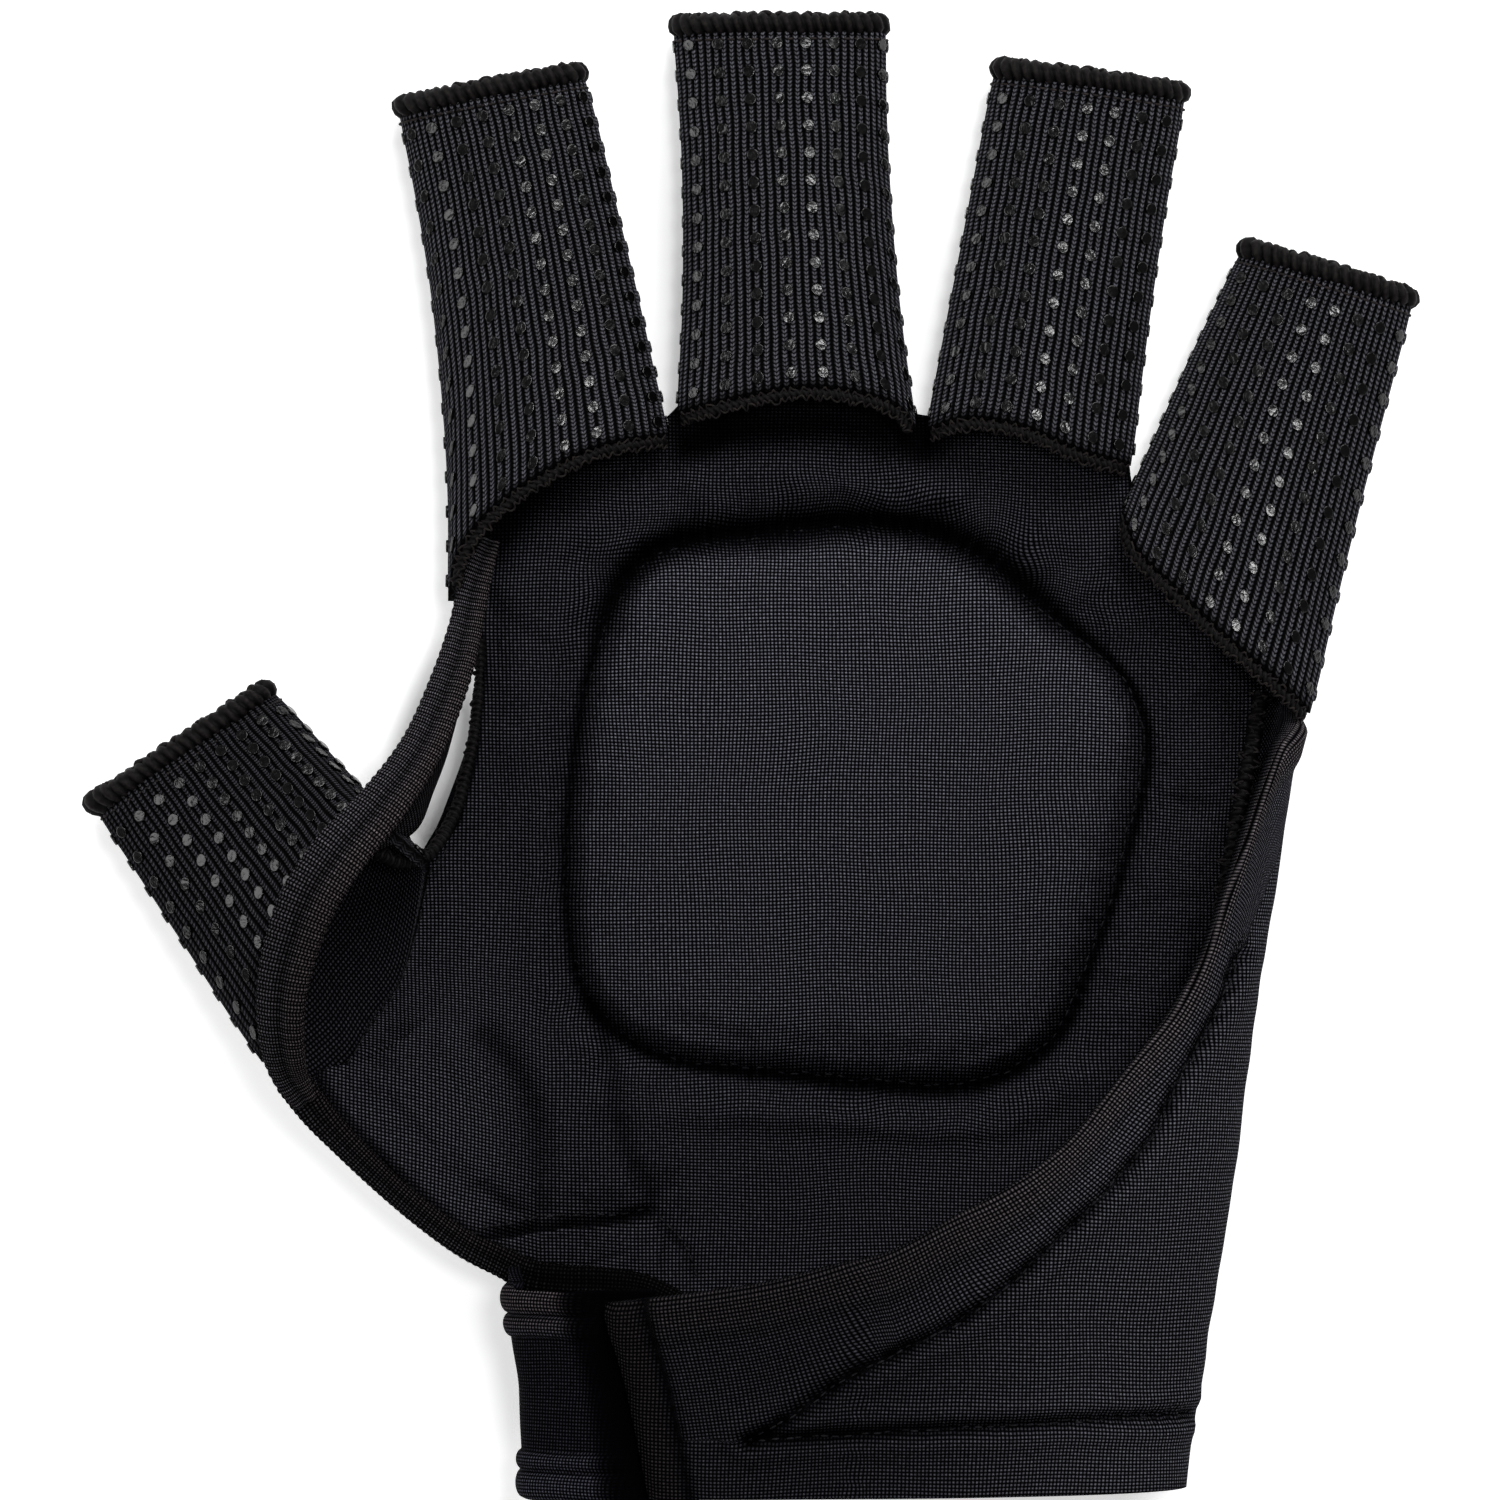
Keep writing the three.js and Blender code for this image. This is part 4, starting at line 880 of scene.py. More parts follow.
# lining: its upper side = underside + normal * (thickness + crown, groove and shoulder of the pad + lines), then
# swollen by the cloth simulation; the shades are products of one shade for each cause
def makeLining():
    underside = evenInside(liningUnderside(), 30)
    x, y = underside[..., 0], underside[..., 1]
    spread = lambda edge: np.linalg.norm(underside - edge, axis=2)
    sideDistance = np.minimum(spread(underside[:, :1]), spread(underside[:, -1:]))
    rootDistance = spread(underside[-1:])
    edgeDistance = np.minimum(sideDistance, np.minimum(rootDistance, spread(underside[:1])))
    inside = smoothStep(edgeDistance, 0, liningForm["edgeFade"])
    edge = np.full(len(underside), liningForm["edgeThickness"])
    edge[-12:] = tubeWall
    edge[(x[:, 0] < -41) & (y[:, 0] > -45)] = liningForm["thumbEdge"]
    edge = np.convolve(np.pad(edge, 7, mode="edge"), np.ones(15) / 15, "valid")[:, None]
    thickness = mix(edge, liningForm["thickness"], inside)
    normals = gridNormals(underside)
    normals *= np.sign(normals[..., 2].mean())
    upright = (smoothStep(rootDistance, 34, 10) * 0.8)[..., None]
    normals = unit(mix(evenOut(normals, 30), upwards, upright))
    x, y = [(underside + normals * (thickness + 2)[..., None])[..., k] for k in (0, 1)]  # places on the upper side
    outline = smoothLine(padOutline, 160, True)
    away, along = nearLine(x, y, np.vstack([outline, outline[:1]]))
    inwards = np.where(insideOf(x, y, outline), away, -away)
    fold = smoothStep(y, 10, 24) + 0.3 * smoothStep(-y, 24, 36)  # the groove is deepest along the top of the pad
    crown = liningForm["padCrown"] * (0.8 * smoothStep(inwards, 0.0, 2.6) + 0.2 * smoothStep(inwards, 0, 12))
    stitchDip = 1 + 0.2 * np.cos(2 * np.pi * along / liningForm["stitchPitch"])
    trench = bell(inwards + 0.3 + 0.7 * fold, liningForm["grooveWidth"] * (1 + 1.9 * fold))
    groove = -liningForm["grooveDepth"] * (1 + 0.9 * fold) * trench * stitchDip
    shoulder = liningForm["shoulder"] * bell(inwards + 3.8 + fold, 2.0)
    # puckers that run out from the groove above the pad
    waves = np.sin(2 * np.pi * along / liningForm["puckerPitch"] + 2.2 * softNoise(x, y, 30, 9))
    waves = liningForm["puckerHeight"] * waves * bell(inwards + 3.6, 2.4) * fold
    relief = crown + groove + shoulder + waves
    reach = smoothStep(edgeDistance, 0, 4)
    lines, creases = np.zeros_like(x), np.zeros_like(x)
    for deep, width, points in liningLines:
        gap, run = nearLine(x, y, smoothLine(points, 40))
        stitchDip = 1 + 0.1 * np.cos(2 * np.pi * run / liningForm["stitchPitch"])
        relief = relief + deep * bell(gap, width) * stitchDip * reach
        lines = np.maximum(lines, bell(gap, width * 0.8) * (deep < -1.3))
        creases = np.maximum(creases, bell(gap, width * 0.7) * (deep < 0) * (deep > -1.3))
    heelLine = np.interp(x, [-36.4, -31.6, -24.1, -12.8, -7], [-61.4, -59.6, -58.6, -58.0, -62])
    below = heelLine - y
    heelStep = liningForm["heelStep"] * smoothStep(below, 0.2, 1.4) * (1 - smoothStep(below, 2, 8)) * (x < -11)
    relief = relief + heelStep * reach + softNoise(x, y, 34, 3) * liningForm["uneven"] * inside
    top = underside + normals * (thickness + relief)[..., None]
    edgeHold = 1 - smoothStep(edgeDistance, 1.0, 4.5)
    held = np.clip(np.maximum.reduce([edgeHold, bell(away, 1.3), lines]), 0, 1)
    top = top + swellLining(top, held) * (1 - edgeHold)[..., None]
    backGroove = bell(away, 1.4) * liningForm["backGroove"] * inside
    bottom = underside + upwards * (backGroove * smoothStep(inside, 0.2, 0.8))[..., None]
    bottom[..., 2] = np.maximum(bottom[..., 2], 0)
    # the knit is pulled out of square near the groove, and its rows run down to the heel seam
    pull = bell(inwards + 3.0, 4.5) * (0.15 + liningForm["knitPull"] * np.clip(fold, 0, 1))
    slope = liningForm["knitSlope"] * np.maximum(-x - 26, 0) * smoothStep(-y, 22, 40)
    pulled = np.stack([pull * softNoise(x, y, 13, 15), pull * softNoise(x, y, 13, 16) - slope], axis=2)
    patches = wallPatches(x.shape, x.shape, False, top[..., :2] + pulled, bottom[..., :2])
    look = liningShade
    # painted light: the pad lighter than the lining around it and lighter towards its top, with painted shade in the
    # gathers beside its groove
    padLight = mix(look["padFoot"], look["padTop"], smoothStep(y, -35, 25))
    gathers = np.sin(2 * np.pi * along / liningForm["gatherPitch"])
    padShade = mix(look["aroundPad"], padLight, smoothStep(inwards, 0, 3))
    padShade = padShade * (1 - look["gathers"] * bell(inwards, 1.7) * (0.5 + 0.5 * gathers))
    grooveShade = (look["groove"] + 0.13 * fold) * trench * (1 + 0.25 * gathers * np.cos(along * 0.7))
    lineShade = np.clip(1 - grooveShade - look["lines"] * lines - look["creases"] * creases, 0, 1)
    # painted shade along the lining's left edge, and painted light over the lining towards the thumb
    edgeLow = np.where(underside[:, :1, 1] < -12, look["thumbEdge"], look["crotchEdge"])
    edgeShade = (mix(edgeLow, 1.0, smoothStep(spread(underside[:, :1]), 0.4, 1.8))
                 * mix(1, look["thumbSideLight"], smoothStep(-x, 27, 36) * smoothStep(-y, 2, 16)))
    fromMiddle = bell(np.maximum(np.abs(x - 5.5) - 9, 0), 5)  # the shadow is deepest below the middle finger
    rootShade = mix(look["root"] - look["underMiddle"] * fromMiddle, 1.0,
                    smoothStep(rootDistance - 2.2 * fromMiddle, 2.4, 7.5))
    notch = np.hypot(x + 9.2, y - 37.5)  # the notch beside the middle finger is lit
    rootShade = mix(rootShade, 1.0, look["notch"] * bell(notch, 4.5))
    values = np.concatenate([(padShade * rootShade * edgeShade * lineShade).ravel(),
                             (look["underside"] * edgeShade).ravel()])
    points = np.concatenate([top.reshape(-1, 3), bottom.reshape(-1, 3)])
    piece = makePiece("palm.lining.padded", points, patches, lining, values)
    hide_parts("back_shell", "hand_pad")
    return top, bottom


liningTop, liningBottom = makeLining()
print("lining done")

panelForm = {"start": -29.4, "endFoot": 122.0, "endEdge": 131.0, "footSeam": -91.6, "footCuff": -93.0,
             "thickness": 2.8, "rows": 130, "columns": 150, "hemWidth": 5.6, "hemRise": 0.55, "edgeRound": 1.6,
             "grooveDepth": 0.95, "footDepth": 1.2, "ridge": 0.5, "stitchPitch": 2.1, "stripWidth": 5.5,
             "stripRise": 0.25, "stripDepth": 0.5, "stripRound": 1.7}
panelShade = {"side": 0.63, "end": 0.78, "groove": 0.42, "inside": 0.6, "hemBrown": 0.4, "endBrown": 0.5}
freeEdge = np.array([(66.9, 1.4), (64.0, -4.8), (61.2, -12.3), (56.0, -26.1), (47.2, -38.6), (35.9, -51.1),
                     (24.7, -57.9), (12.2, -63.3), (-0.3, -66.3), (-19.1, -68.8)])
topStitch = [(60.4, -25.6), (57.8, -32.3), (53.4, -39.8), (49.7, -47.3), (44.7, -53.6), (38.4, -59.8),
             (30.9, -66.7), (24.7, -71.1), (18.4, -74.2), (12.2, -77.3), (5.9, -81.7), (-0.3, -85.4)]
footStitch = [(-0.3, -85.4), (12.2, -84.6), (30.9, -83.6), (43.4, -82.9), (54.7, -82.6)]


# length from each point of a grid to the end of its column
def lengthLeft(grid):
    steps = np.linalg.norm(np.diff(grid, axis=0), axis=2)
    return np.concatenate([np.cumsum(steps[::-1], axis=0)[::-1], np.zeros((1, grid.shape[1]))])


# panel: angle and y are straight mixes over its share round the wrist and its length up to the free edge; its
# outside is the wrist loop + normal * (hem, rounded edge, stitched grooves with a ridge beside them, end strip)
def makePanel():
    start, end = panelForm["start"], panelForm["endEdge"]
    edgeShare = (loopAngle(freeEdge[:, 0], freeEdge[:, 1]) - start) / (end - start)
    shares = np.concatenate([[0, 0.1, 0.2], edgeShare])
    heights = np.concatenate([[9.2, 5.6, 3.6], freeEdge[:, 1]])
    order = np.argsort(shares)
    share = np.linspace(0, 1, panelForm["columns"])[None]
    length = (np.linspace(0, 1, panelForm["rows"]) ** 0.9)[:, None]
    footY = mix(panelForm["footSeam"], panelForm["footCuff"], share)
    y = mix(footY, readTable(share, shares[order], heights[order]), length)
    angle = mix(start, mix(panelForm["endFoot"], end, length), share)
    outer = loopPoint(angle, y)
    x, y = outer[..., 0], outer[..., 1]
    normals = turnTowards(gridNormals(outer), (outer - loopMiddle) * [1, 0, 1])
    fromEdge, fromEnd = lengthLeft(outer), lengthLeft(outer.transpose(1, 0, 2)).T
    upper = smoothStep(outer[..., 2], 12, 17)
    gap, run = nearLine(x, y, smoothLine(topStitch, 120))
    footGap, footRun = nearLine(x, y, smoothLine(footStitch, 60))
    hem = panelForm["hemRise"] * (1 - smoothStep(fromEdge, panelForm["hemWidth"] - 1.5, panelForm["hemWidth"] + 0.8))
    edgeRound = -panelForm["edgeRound"] * (1 - smoothStep(fromEdge, 0, 1.6)) ** 2
    pucker = 1 + 0.35 * np.cos(2 * np.pi * run / 2.6) + 0.25 * np.sin(2 * np.pi * run / 9.1)
    footPucker, endPucker = [1 + 0.3 * np.cos(2 * np.pi * place / panelForm["stitchPitch"]) for place in (footRun, y)]
    groove = -(panelForm["grooveDepth"] * bell(gap, 1.0) * pucker
               + panelForm["footDepth"] * bell(footGap, 0.9) * footPucker) * upper
    ridge = panelForm["ridge"] * (bell(gap - 2.0, 1.3) + bell(footGap - 2.0, 1.3)) * upper
    fromStrip = fromEnd - panelForm["stripWidth"]
    strip = (panelForm["stripRise"] * (1 - smoothStep(fromEnd, 3.2, 5.0))
             - panelForm["stripDepth"] * bell(fromStrip, 0.8) * endPucker
             - panelForm["stripRound"] * (1 - smoothStep(fromEnd, 0, 2.4)) ** 2) * upper
    soft = softNoise(x, y, 30, 7) * 0.35 + softNoise(x * 0.4, y, 9, 8) * 0.1
    top = outer + normals * (hem + edgeRound + groove + ridge + strip + soft * smoothStep(fromEdge, 0, 6))[..., None]
    # above the topstitch: length along the free edge less the column's lean, beside the distance square to it
    edgeLine = outer[-1]
    edgeTangent = unit(np.gradient(edgeLine, axis=0))
    columnLean = np.einsum("ij,ij->i", unit(outer[-1] - outer[-15]), edgeTangent)
    columnLean = np.convolve(np.pad(columnLean, 11, mode="edge"), np.ones(23) / 23, "valid")
    turned = np.stack([runLength(edgeLine) - fromEdge * columnLean, -fromEdge * np.sqrt(1 - columnLean**2)], axis=2)
    stitchX, stitchY = [np.array([(67.5, -8.0), *topStitch, (-1.0, -85.4)])[::-1, k] for k in (0, 1)]
    above = (y > np.interp(x, stitchX, stitchY)) & (fromStrip > 0)
    pattern = np.where(above[..., None], turned, loopPattern(angle, y))
    sideLight = mix(panelShade["side"], 1.0, smoothStep(x, 6, 50))
    endShade = mix(panelShade["end"], 1.0, smoothStep(fromEnd, 4.5, 7.5))
    grooveShade = (bell(gap, 0.8) * pucker + bell(footGap, 0.8) + 0.7 * bell(fromStrip, 0.7)) * upper
    dark = np.clip(sideLight * endShade - panelShade["groove"] * grooveShade, 0, 1)
    brown = np.maximum(panelShade["hemBrown"] * (1 - smoothStep(fromEdge, 2.5, 7.5)),
                       panelShade["endBrown"] * (1 - smoothStep(fromEnd, 4.0, 5.5)))
    values = np.concatenate([dark.ravel(), np.full(dark.size, panelShade["inside"])])
    piece = makeWall("heel.panel.cloth", top, outer - normals * panelForm["thickness"], pattern, panelCloth, values,
                     panelForm["thickness"], brown)
    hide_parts("heel_panel")
    return piece, gridArea(outer), top


loopMiddle = np.array([13.0, 0.0, 14.0])  # inside the wrist loop
panelPiece, panelArea, panelTop = makePanel()
print("heel panel done")

gussetForm = {"tuck": 7.0, "depth": 4.7, "end": 210.6, "thickness": 1.6, "top": -67.0, "foot": -93.3,
              "rows": 120, "columns": 60, "reach": 2.6, "inset": 0.6, "uneven": 0.18}
gussetShade = {"tucked": 0.1, "cloth": 0.6, "inside": 0.5, "brown": 0.4}
# bindings: rolls across the cuff as centre, half width and height, each a half circle flattened to its height
gussetRolls = [(-68.2, 1.9, 1.3), (-71.5, 1.4, 1.0), (-88.5, 1.2, 0.9), (-91.5, 1.8, 1.1)]


# gusset: the wrist loop drawn in by an inset, from under the panel's end to the thumb side, raised by its rolls
def makeGusset():
    y = np.linspace(gussetForm["top"], gussetForm["foot"], gussetForm["rows"])[:, None]
    high = np.clip((y - panelForm["footCuff"]) / (freeEdge[-1, 1] - panelForm["footCuff"]), 0, 1)
    endAngle = mix(panelForm["endFoot"], panelForm["endEdge"], high)
    share = np.linspace(0, 1, gussetForm["columns"])[None]
    angle = mix(endAngle - gussetForm["tuck"], gussetForm["end"], share)
    raised = smoothStep(angle, 158, 182) * smoothStep(y, -70, gussetForm["top"])
    y = y + gussetForm["reach"] * raised  # reaches up under the edging
    bulge = np.maximum.reduce([height * np.sqrt(np.clip(1 - ((y - centre) / half) ** 2, 0, 1))
                               for centre, half, height in gussetRolls])
    clear = smoothStep(angle, endAngle + 1, endAngle + 9)
    outer = loopPoint(angle, y, mix(gussetForm["depth"], gussetForm["inset"] - bulge * 0.85, clear))
    normals = turnTowards(gridNormals(outer), (outer - loopMiddle) * [1, 0, 1])
    top = outer + normals * (softNoise(angle * 0.45, y, 14, 21) * gussetForm["uneven"])[..., None]
    rolls = np.clip(bulge, 0, 1)
    tuckShade = mix(gussetShade["tucked"], 1.0, smoothStep(angle, endAngle + 6, endAngle + 14))
    values = np.concatenate([(tuckShade * mix(gussetShade["cloth"], 1.0, rolls)).ravel(),
                             np.full(rolls.size, gussetShade["inside"])])
    piece = makeWall("cuff.gusset.cloth", top, outer - normals * gussetForm["thickness"], loopPattern(angle, y),
                     gussetCloth, values, warmth=gussetShade["brown"] * rolls * smoothStep(y, -74, -70))
    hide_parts("cuff_gusset")
    return piece, gridArea(outer)


gussetPiece, gussetArea = makeGusset()
print("cuff gusset done")

# bands: rows of x, y, z, width and dip in degrees
webBand = {"rows": [(-32.8, 26.6, 7.8, 2.2, 0), (-34.0, 23.6, 8.3, 3.4, 0), (-35.0, 20.4, 8.7, 4.0, 0),
                    (-36.0, 15.5, 9.6, 4.3, 0), (-37.8, 9.0, 12.4, 4.9, 4),
                    (-41.4, 0.3, 16.4, 5.4, 8), (-46.1, -6.6, 20.6, 6.2, 12), (-51.2, -12.6, 23.4, 7.0, 14),
                    (-55.1, -18.6, 24.2, 7.4, 16), (-57.6, -25.6, 23.8, 7.0, 18), (-58.6, -32.0, 22.4, 6.2, 18),
                    (-58.4, -37.4, 19.8, 5.4, 14), (-57.6, -40.6, 17.2, 4.4, 10), (-55.8, -43.6, 15.4, 3.2, 6)],
           "thickness": 2.2, "ribPitch": 1.2, "ribHeight": 0.02, "groove": 0.34, "grooveWidth": 0.5, "shade": 1.0,
           "endShade": 0.85}
edgeBinding = {"rows": [(-57.5, -41.0, 16.6, 4.4, 4), (-54.5, -45.1, 14.6, 4.1, 4), (-51.4, -48.5, 13.8, 3.7, 4),
                        (-46.7, -53.2, 13.5, 3.3, 4), (-41.1, -58.0, 13.1, 3.3, 4), (-35.8, -61.8, 12.5, 3.4, 4),
                        (-31.4, -63.9, 11.8, 3.8, 4), (-28.2, -65.4, 12.4, 4.0, 0), (-23.6, -66.2, 13.4, 4.2, 0),
                        (-18.4, -66.5, 14.8, 4.2, 0), (-13.4, -67.2, 15.8, 3.8, 0), (-8.0, -69.6, 17.0, 3.2, 0)],
               "thickness": 1.8, "ribPitch": 0.9, "ribHeight": 0.07, "groove": 0.3, "grooveWidth": 0.3, "shade": 0.62,
               "endShade": 0.5}


# band: a flat rounded section, half width * |cosine|^0.6 by half thickness * |sine|^0.55, pressed in along its
# middle and ribbed across, turned by its dip
def makeBand(name, form, node, seed):
    length = runLength(np.array(form["rows"])[:, :3])[-1]
    count, sides = int(length / form["ribPitch"] * 6), 40
    line = smoothLine(form["rows"], count)
    path, width, dip = line[:, :3], line[:, 3:4], np.radians(line[:, 4:5])
    steps = np.linspace(0, length, count)
    turn = (np.arange(sides) * 2 * np.pi / sides)[None]
    across = width / 2 * signedPower(np.cos(turn), 0.6)
    lift = form["thickness"] / 2 * signedPower(np.sin(turn), 0.55)
    middle = form["groove"] * bell(across, form["grooveWidth"])
    wave = np.sin(2 * np.pi * steps / form["ribPitch"])[:, None]
    uneven = softNoise(steps[:, None], across, 7, seed) * 0.12
    lift = (lift * (1 - middle)
            + np.sign(np.sin(turn)) * (form["ribHeight"] * wave + uneven) * (np.abs(np.sin(turn)) > 0.2))
    across = across * (1 + 0.03 * wave)
    section = np.stack([across * np.cos(dip) - lift * np.sin(dip), across * np.sin(dip) + lift * np.cos(dip)], axis=2)
    grid = sweepGrid(path, upwards, section)[0]
    # painted shade: the band darker over its last part
    endDarkening = mix(1.0, form["endShade"], smoothStep(steps / length, 0.5, 0.72))[:, None]
    ribShade = 0.75 + 0.25 * np.clip(0.5 + wave / 2, 0, 1) - 0.8 * middle
    values = np.append((form["shade"] * endDarkening * ribShade).ravel(), [0.4, 0.4])
    around = runLength(np.vstack([section[count // 2], section[count // 2, :1]]))
    around *= np.ceil(around[-1] / 0.46) * 0.46 / around[-1]  # a whole number of loops round it
    brown = 0.45 * smoothStep(across / width, 0.0, 0.35)
    piece = makePiece(name, np.vstack([grid.reshape(-1, 3), path[[0, -1]]]),
                      sweepPatches(count, sides, False, steps, 0, around), bandCloth, values,
                      warmth=np.append(brown.ravel(), [0.0, 0.0]))
    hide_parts(node)
    return piece, line


bandPiece, _ = makeBand("web.band.folded", webBand, "web_band", 61)
_, edgeLine = makeBand("heel.edge.binding", edgeBinding, "heel_edge_binding", 62)


skirtThickness = 0.9


# side seam: overlocked roll down the inside of the little-finger side, with a plain roll that closes the joint
def makeSideSeam():
    y = np.linspace(7.5, -89.0, 60)
    roll, line, side, lift, steps = makeRoll(loopPoint(-19.0, y, 4.4), upwards, tubeLook["seamRadius"], False,
                                             1.1, 71, 0.2)
    threads = [loopThread(line, way * side, lift, steps + shift, 1.7, 2.0, -1.0, 0.9, 0.2, 0.72)
               for way, shift in ((1, 0), (-1, 0.85))]
    joint = makeRoll(loopPoint(-30.7, y, 1.1), upwards, 1.1, False, 1.1, 72, 0.3)[0]
    makeSewn("side.seam.overlock", [roll, *threads, joint], "side_seam")


# crotch seam: overlocked edge of the lining beside the opening between index finger and thumb
def makeCrotchSeam():
    rim = mix(liningBottom[:, 0], liningTop[:, 0], 0.75) - np.array([0.25, 0.0, 0.0])
    rim = rim[(rim[:, 1] > -9.4) & (rim[:, 1] < 14.2)][::-8]
    path = smoothLine([*map(tuple, rim), (-40.6, -12.9, 14.0), (-44.0, -13.8, 15.4), (-47.0, -12.6, 16.4)], 60)
    roll, line, side, lift, steps = makeRoll(path, upwards, 0.8, False, 0.8, 81, 0.6)
    return makeSewn("crotch.seam.overlock",
                    [roll, loopThread(line, -side, lift, steps, 1.3, 0.7, 0.1, 0.6, 0.18, 0.54)])


# skirt: a strip of cloth between its outside and its inside, which lies inwards by its thickness
def makeSkirt(name, outer, inwards, length, tall, material, shade):
    rows, columns = outer.shape[:2]
    pattern = np.stack(np.meshgrid(np.linspace(0, length, rows), np.linspace(0, tall, columns), indexing="ij"), axis=2)
    return makeWall(name, outer, outer + inwards * skirtThickness, pattern, material,
                    np.full(2 * rows * columns, shade))


# web skirt: the strip of cloth under the band, straight lines from under the band down to its lower edge
def makeWebSkirt():
    upper = smoothLine([(-34.8, 18.5, 8.6), (-36.2, 12.0, 10.4), (-38.2, 4.5, 14.0), (-42.4, -2.4, 17.6),
                        (-46.4, -7.6, 20.2), (-49.6, -11.0, 21.8), (-51.4, -13.0, 22.6)], 90)
    lower = smoothLine([(-34.4, 17.0, 6.0), (-35.4, 11.0, 6.4), (-36.7, 5.6, 8.0), (-38.3, -0.6, 9.6),
                        (-39.9, -5.0, 11.2), (-41.8, -9.6, 13.2), (-45.6, -12.0, 17.0), (-51.0, -13.4, 22.4)], 90)
    share = np.linspace(0, 1, 24)[None, :, None]
    outer = mix(upper[:, None], lower[:, None], share)
    outer = outer + np.array([0.5, 0.2, 0]) * np.sin(np.pi * share) + np.array([0, 0, 0.3]) * np.sin(share * 9)
    return makeSkirt("web.skirt.cloth", outer, gridNormals(outer), 34, 9, bandCloth, 0.55)


# heel skirt: the cloth from under the heel binding down over the lining's edge, straight between the two
def makeHeelSkirt():
    upper = smoothLine(edgeLine[:int(len(edgeLine) * 0.84), :3] - upwards * 0.5, 110)
    rim = liningBottom[:, 0]
    rim = rim[rim[:, 1] < -36]
    gap = np.hypot(rim[None, :, 0] - upper[:, None, 0], rim[None, :, 1] - upper[:, None, 1])
    lower = rim[np.argmin(gap, axis=1)]
    outwards = unit(np.cross(np.gradient(upper, axis=0), -upwards))
    outwards *= np.sign(np.dot(outwards.mean(axis=0), [-1.0, -1.0, 0.0]))
    lower = evenOut(np.repeat(lower[:, None], 3, axis=1), 12)[:, 1] + outwards * 0.35 + upwards * 0.2
    share = np.linspace(0, 1, 14)[None, :, None]
    outer = mix(upper[:, None], lower[:, None], share) + outwards[:, None] * 0.35 * np.sin(np.pi * share)
    tall = np.linalg.norm(upper - lower, axis=1).mean()
    length = runLength(upper)[-1]
    piece = makeSkirt("heel.skirt.cloth", outer, -outwards[:, None], length, tall, lining, 0.6)
    print(f"heel skirt {length:.1f} by {tall:.1f} mm")
    return piece, length * tall


makeSideSeam()
crotchSeam = makeCrotchSeam()
webSkirt = makeWebSkirt()
heelSkirt, heelSkirtArea = makeHeelSkirt()
print("bands and seams done")

stitchForm = {"pitch": 1.5, "half": 0.5, "radius": 0.14}


# points of a grid nearest to given places in plan; the higher one where the panel lies over itself
def surfaceAt(places, grid):
    flat = grid.reshape(-1, 3)
    gap = (flat[None, :, 0] - places[:, None, 0]) ** 2 + (flat[None, :, 1] - places[:, None, 1]) ** 2
    gap = gap - 0.02 * flat[None, :, 2] * (grid is panelTop)
    return flat[np.argmin(gap, axis=1)]


# a row of stitches along a line, on a grid's surface or on the line itself, each lifted by its value
def stitchRow(name, line, grid, lift):
    count = int(runLength(line)[-1] / stitchForm["pitch"])
    places = smoothLine(line, count)
    spots = places.copy() if grid is None else surfaceAt(places, grid)
    spots[:, 2] += lift if np.isscalar(lift) else lift(places[:, 0], places[:, 1])
    forward = unit(np.gradient(spots, axis=0))
    side = unit(np.cross(upwards, forward))
    points, sets = scatterShape(*stitchShape(stitchForm["half"], stitchForm["radius"]), spots, side,
                                np.cross(forward, side), forward)
    return makePiece(name, points, sets, stitching)


# the pad's stitches sink out of sight along its top and its thumb side
sinkPad = lambda x, y: 0.1 - 0.32 * np.maximum(smoothStep(y, -2, 12) * (x < 36), smoothStep(-x, 8, 18))
stitchRow("pad.stitches", smoothLine(padOutline, 160, True), liningTop, sinkPad)
stitchRow("heel.seam.stitches", np.array(liningLines[0][2] + liningLines[1][2][1:]), liningTop, 0.1)
edgeStitches = stitchRow("panel.hem.stitches", np.array(topStitch), panelTop, 0.1)
footStitches = stitchRow("panel.foot.stitches", np.array(footStitch), panelTop, 0.1)
thumbRim = liningTop[:, 0][(liningTop[:, 0, 1] > -39) & (liningTop[:, 0, 1] < -12)]
stitchRow("thumb.crease.stitches", smoothLine(thumbRim[::4] + np.array([0.7, -0.2, 0]), 60), None, 0.15)
print("stitches done")
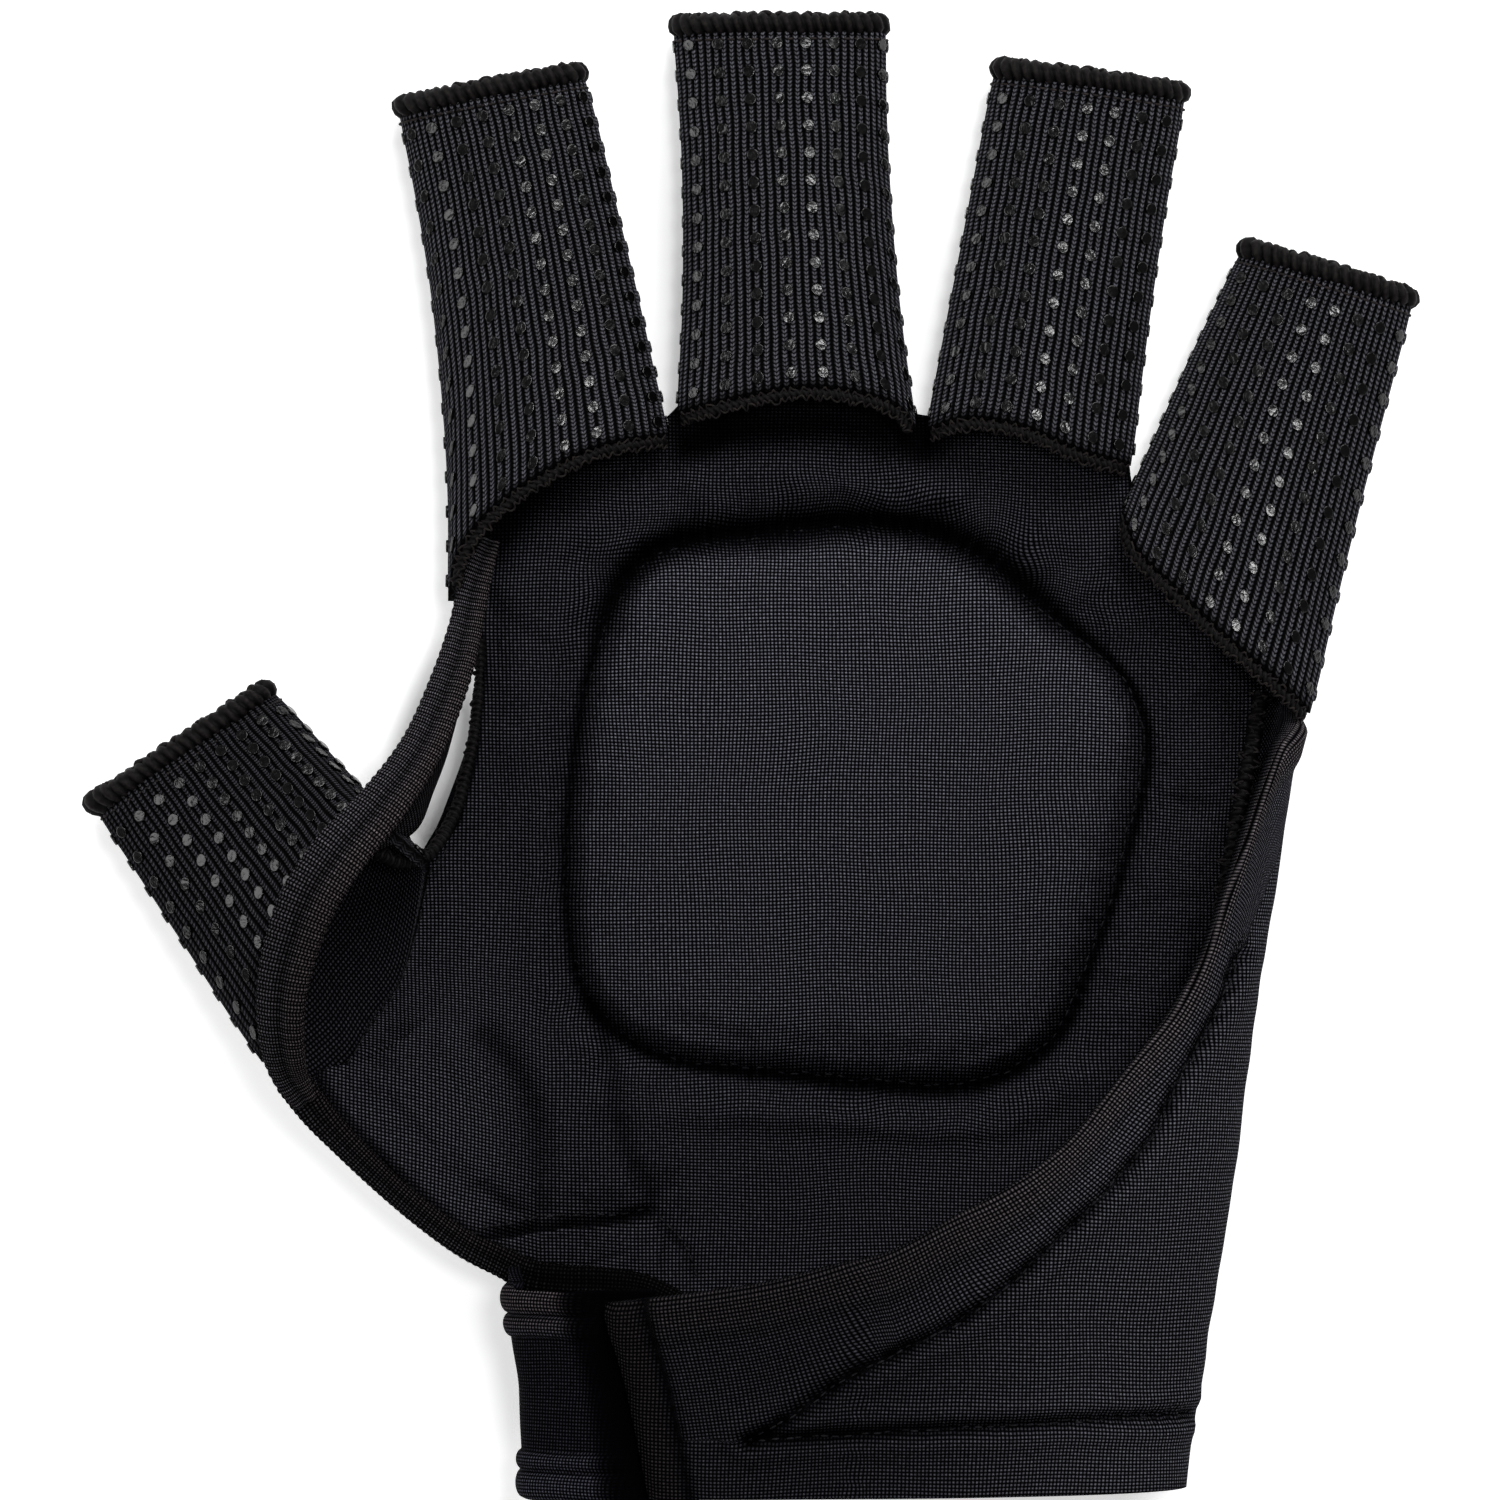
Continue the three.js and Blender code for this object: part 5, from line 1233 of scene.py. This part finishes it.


# white paper: glows evenly so that it stays white, but the glow fades to nothing in an oval below the opening between
# thumb and palm, a painted shadow seen through the opening
def makeFloor():
    mesh = bpy.data.meshes.new("studio.floor")
    mesh.from_pydata([(-3, -3, 0), (3, -3, 0), (3, 3, 0), (-3, 3, 0)], [], [(0, 1, 2, 3)])
    material, tree = newMaterial("white paper sweep")
    opening = vectorMaths(tree, "MULTIPLY_ADD", objectPlace(tree), (1.0, 0.45, 0.0), (39.5 * mm, 0.9 * mm, 0.0))
    vectorMaths(tree, "LENGTH", opening)
    glow = remap(tree, tree.nodes[-1].outputs["Value"], 4.5 * mm, 7.5 * mm, 0.0, 0.45)
    shader = addNode(tree, "BsdfPrincipled", {
        "Base Color": linearColour("#f4f4f4"), "Roughness": 0.9, "Specular IOR Level": 0.0,
        "Emission Color": linearColour("#ffffff"), "Emission Strength": glow})
    addNode(tree, "OutputMaterial", {"Surface": shader})
    mesh.materials.append(material)
    floor = bpy.data.objects.new("studio.floor", mesh)
    bpy.context.scene.collection.objects.link(floor)


studio = {
    "key": {"place": (0.17, 0.10, 1.1), "size": 0.2, "power": 3.2},
    "top": {"place": (0.45, 1.0, 0.95), "size": 0.9, "power": 18.0},
    "left": {"place": (-1.1, 0.35, 0.9), "size": 0.9, "power": 9.0},
    "foot": {"place": (0.5, -1.1, 0.9), "size": 0.9, "power": 5.0},
}
worldLight = 0.12


def makeLight(name, form):
    lamp = bpy.data.lights.new(name, "AREA")
    lamp.shape = "DISK"
    lamp.size = form["size"]
    lamp.energy = form["power"]
    obj = bpy.data.objects.new(name, lamp)
    obj.location = form["place"]
    obj.rotation_euler = (-Vector(form["place"])).to_track_quat("-Z", "Y").to_euler()
    bpy.context.scene.collection.objects.link(obj)


# straight above the glove, as far off as makes 187.5 mm of it fill the frame at a height of 14 mm
def makeCamera():
    lens = 250.0
    camera = bpy.data.cameras.new("camera")
    camera.lens = lens
    camera.sensor_width = 36.0
    camera.sensor_fit = "HORIZONTAL"
    camera.clip_end = 20.0
    obj = bpy.data.objects.new("camera", camera)
    obj.location = (-0.31 * mm, 0.19 * mm, (14.0 + 187.5 / 36 * lens) * mm)
    bpy.context.scene.collection.objects.link(obj)
    bpy.context.scene.camera = obj


makeFloor()
for lightName, form in studio.items():
    makeLight(lightName, form)
world = bpy.data.worlds.new("studio")
world.use_nodes = True
for number, value in enumerate(((1, 1, 1, 1), worldLight)):
    world.node_tree.nodes["Background"].inputs[number].default_value = value
bpy.context.scene.world = world
bpy.context.scene.view_settings.view_transform = "Standard"  # keeps the paper white and the cloth black
makeCamera()

print("scene done")
